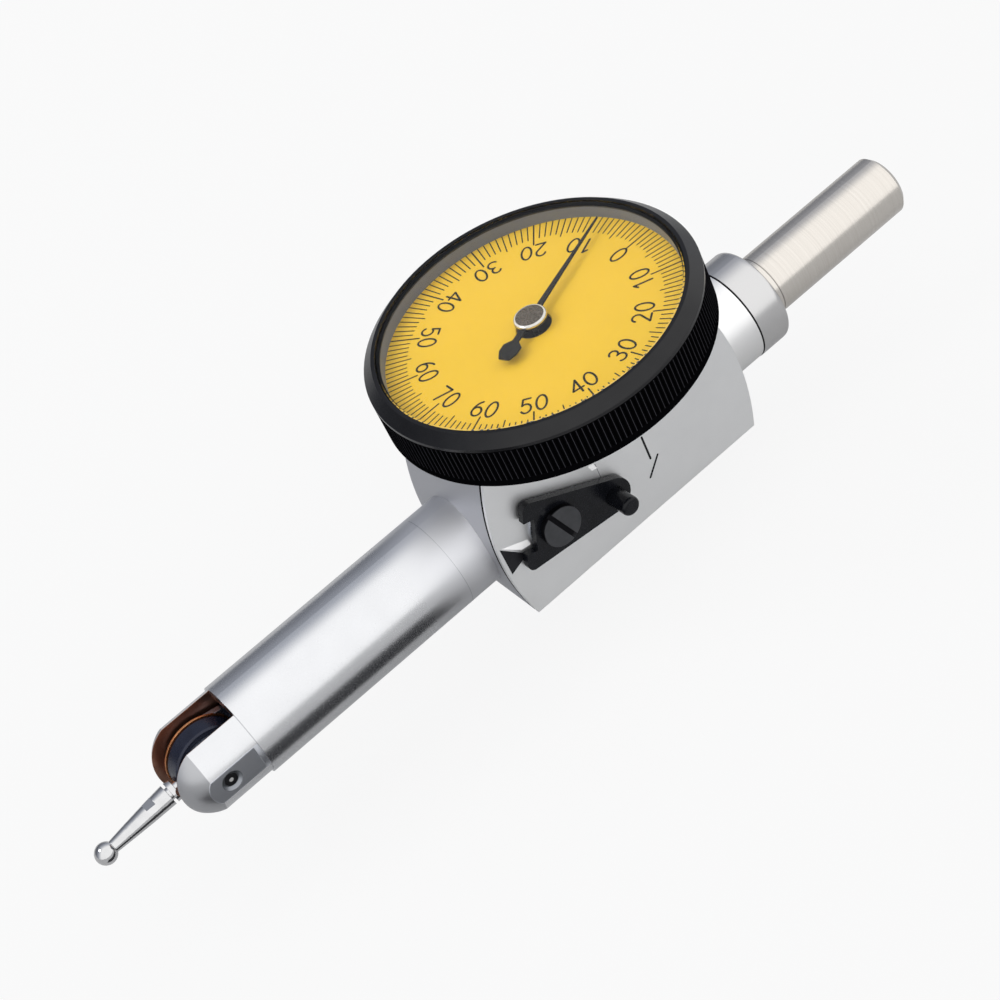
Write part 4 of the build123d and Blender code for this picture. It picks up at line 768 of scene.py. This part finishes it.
def cover_marks():
    """Index lines, the triangle that the reversing lever's notch points to, and two pale patches of painted
    highlight.
    """
    mesh = bmesh.new()
    for start, end in MARK_LINES:
        add_stroke(mesh, pen(start, end), MARK_WIDTH, cover_place, MARK_LIFT)
    add_slab(mesh, MARK_TRIANGLE, MARK_LIFT)
    new_piece("cover_marks", mesh, ENGRAVED, "frame")
    mesh = bmesh.new()
    add_stroke(mesh, pen(*FAINT_LINE), FAINT_WIDTH, cover_place, MARK_LIFT / 2)
    new_piece("cover_scribe", mesh, SCRIBED, "frame")
    mesh = bmesh.new()
    # Painted highlights: near-white patches on the cover
    for outline in COVER_PAINTED_HIGHLIGHTS:
        add_slab(mesh, outline, MARK_LIFT)
    new_piece("cover_highlight_patches", mesh, COVER_HIGHLIGHT_PAINT, "frame")


def wire_mesh(points, radius):
    """Closed tube along points that lie in a plane of constant Y."""
    mesh = bmesh.new()
    rings = []
    for i, point in enumerate(points):
        along = (points[min(i + 1, len(points) - 1)] - points[max(i - 1, 0)]).normalized()
        side = along.cross(Vector((0, 1, 0)))
        ring = []
        for step in range(WIRE_SIDES):
            angle = 2 * math.pi * step / WIRE_SIDES
            offset = side * math.cos(angle) + Vector((0, math.sin(angle), 0))
            ring.append(mesh.verts.new(point + offset * radius))
        rings.append(ring)
    for first, second in zip(rings, rings[1:]):
        join_rings(mesh, first, second)
    mesh.faces.new(rings[0])
    mesh.faces.new(rings[-1])
    return mesh


def run(start_x, end_x, y, z):
    """Points along a straight leg of the spring."""
    steps = [i / LEG_STEPS for i in range(LEG_STEPS + 1)]
    return [Vector((start_x + (end_x - start_x) * step, y, z)) for step in steps]


def reversing_spring():
    """Hairpin spring in two pieces, its bend and the end of its lower leg, made in place of the CAD spring,
    which is hidden.
    """
    low, high = corners("reversing_spring")
    radius = (high.y - low.y) / 2
    bend = (high.z - low.z) / 2 - radius
    middle = (low + high) / 2
    pin_x = high.x - radius - bend
    split_x = (low.x + pin_x) / 2
    hairpin = run(low.x, pin_x, middle.y, middle.z + bend)
    for step in range(1, BEND_STEPS):
        angle = math.pi / 2 - math.pi * step / BEND_STEPS
        reach = Vector((math.cos(angle), 0, math.sin(angle))) * bend
        hairpin.append(Vector((pin_x, middle.y, middle.z)) + reach)
    hairpin.extend(run(pin_x, split_x, middle.y, middle.z - bend))
    leg = run(split_x, low.x, middle.y, middle.z - bend)
    tail_x = corners("tail_pin")[1].x
    for name, points, body, end_x in (
        ("reversing_spring_bend", hairpin, "clutch", pin_x),
        ("reversing_spring_leg", leg, "lever", tail_x),
    ):
        piece = new_piece(name, wire_mesh(points, radius), FINISHES["spring_steel"], None)
        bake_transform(piece)
        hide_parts("reversing_spring")


# Studio


def stage_plane(name, shader, width, depth, place):
    """Level sheet for the stage, with its middle at the place given, millimetres."""
    mesh = bmesh.new()
    bmesh.ops.create_grid(mesh, x_segments=1, y_segments=1, size=0.5)
    data = bpy.data.meshes.new(name)
    mesh.to_mesh(data)
    mesh.free()
    data.materials.append(shader.material)
    made = bpy.data.objects.new(name, data)
    made.scale = (width * MM, depth * MM, 1)
    made.location = Vector(place) * MM
    bpy.context.scene.collection.objects.link(made)
    return made


def floor_height():
    """Just below the circle that the stylus swings through."""
    return STYLUS_END_X - PIVOT_X - FLOOR_GAP


def floor():
    """Pale floor that keeps shadows. The camera and glass see it nearly white, and metal a little whiter."""
    shader = Shader("floor_white")
    shader.set(Base_Color=(*FLOOR_COLOUR, 1), Roughness=MATT_ROUGHNESS)
    glow = shader.node("ShaderNodeEmission")
    glow.inputs["Strength"].default_value = 1.0
    share = shader.white_share(FLOOR_WHITE_SHARE)
    shader.mix_shaders(share, shader.bsdf.outputs["BSDF"], glow.outputs["Emission"], "Material Output")
    stage_plane("floor", shader, FLOOR_SIZE, FLOOR_SIZE, (0, 0, floor_height()))


def dark_card():
    """Dark card on the floor in front of the stylus and barrel, a sheet of painted shade that metal mirrors.
    Only mirrored light meets it.
    """
    # Painted shade: the card darkens the lower flanks of the barrel and stylus in reflection
    shader = Shader("shade_reflection_card_black")
    shader.set(Base_Color=(*SHADE_CARD_COLOUR, 1), Roughness=MATT_ROUGHNESS)
    place = ((CARD_LEFT + CARD_RIGHT) / 2, (CARD_FRONT + CARD_BACK) / 2, floor_height() + CARD_LIFT)
    made = stage_plane("dark_card", shader, CARD_RIGHT - CARD_LEFT, CARD_BACK - CARD_FRONT, place)
    made.visible_camera = False
    made.visible_diffuse = False
    made.visible_transmission = False
    made.visible_shadow = False


def world():
    """Wide soft light from overhead and in front, darker behind and on the left, and a white backdrop."""
    made = bpy.data.worlds.new("studio")
    made.use_nodes = True
    sky = NodeTree(made.node_tree)
    around = sky.tree.nodes["Background"]
    around.inputs["Strength"].default_value = WORLD_STRENGTH
    source = sky.node("ShaderNodeTexCoord")
    split = sky.node("ShaderNodeSeparateXYZ")
    sky.link(source.outputs["Generated"], split.inputs["Vector"])
    front = sky.node("ShaderNodeMapRange")
    front.inputs["From Min"].default_value = 1.0
    front.inputs["From Max"].default_value = -1.0
    sky.link(split.outputs["Y"], front.inputs["Value"])
    left = sky.maths("MINIMUM", split.outputs["X"], 0.0)
    shaded = sky.maths("MULTIPLY_ADD", left, WORLD_LEFT_SHADE, front.outputs["Result"])
    ramp = sky.node("ShaderNodeValToRGB")
    stops = ramp.color_ramp.elements
    stops.remove(stops[1])
    stops[0].position = 0.0
    stops[0].color = (*WORLD_BEHIND, 1)
    for place, colour in WORLD_STOPS:
        stops.new(place).color = (*colour, 1)
    sky.link(shaded, ramp.inputs["Fac"])
    sky.link(ramp.outputs["Color"], around.inputs["Color"])
    backdrop = sky.node("ShaderNodeBackground")
    backdrop.inputs["Color"].default_value = (1, 1, 1, 1)
    backdrop.inputs["Strength"].default_value = 1.0
    share = sky.white_share(1.0)
    sky.mix_shaders(share, around.outputs["Background"], backdrop.outputs["Background"], "World Output")
    bpy.context.scene.world = made


def key_light():
    """Small softbox above and behind on the left, aimed at the object."""
    data = bpy.data.lights.new("key", "AREA")
    data.shape = "RECTANGLE"
    data.size = KEY_WIDTH * MM
    data.size_y = KEY_HEIGHT * MM
    data.energy = KEY_WATTS
    lamp = bpy.data.objects.new("key", data)
    lamp.location = (KEY_TARGET + KEY_TOWARDS * KEY_DISTANCE) * MM
    lamp.rotation_mode = "QUATERNION"
    lamp.rotation_quaternion = KEY_TOWARDS.to_track_quat("Z", "Y")
    bpy.context.scene.collection.objects.link(lamp)


place_camera()
dress_nodes()
dial_ticks()
dial_numerals()
cover_marks()
reversing_spring()
floor()
dark_card()
world()
key_light()
bpy.context.scene.view_settings.view_transform = "Standard"
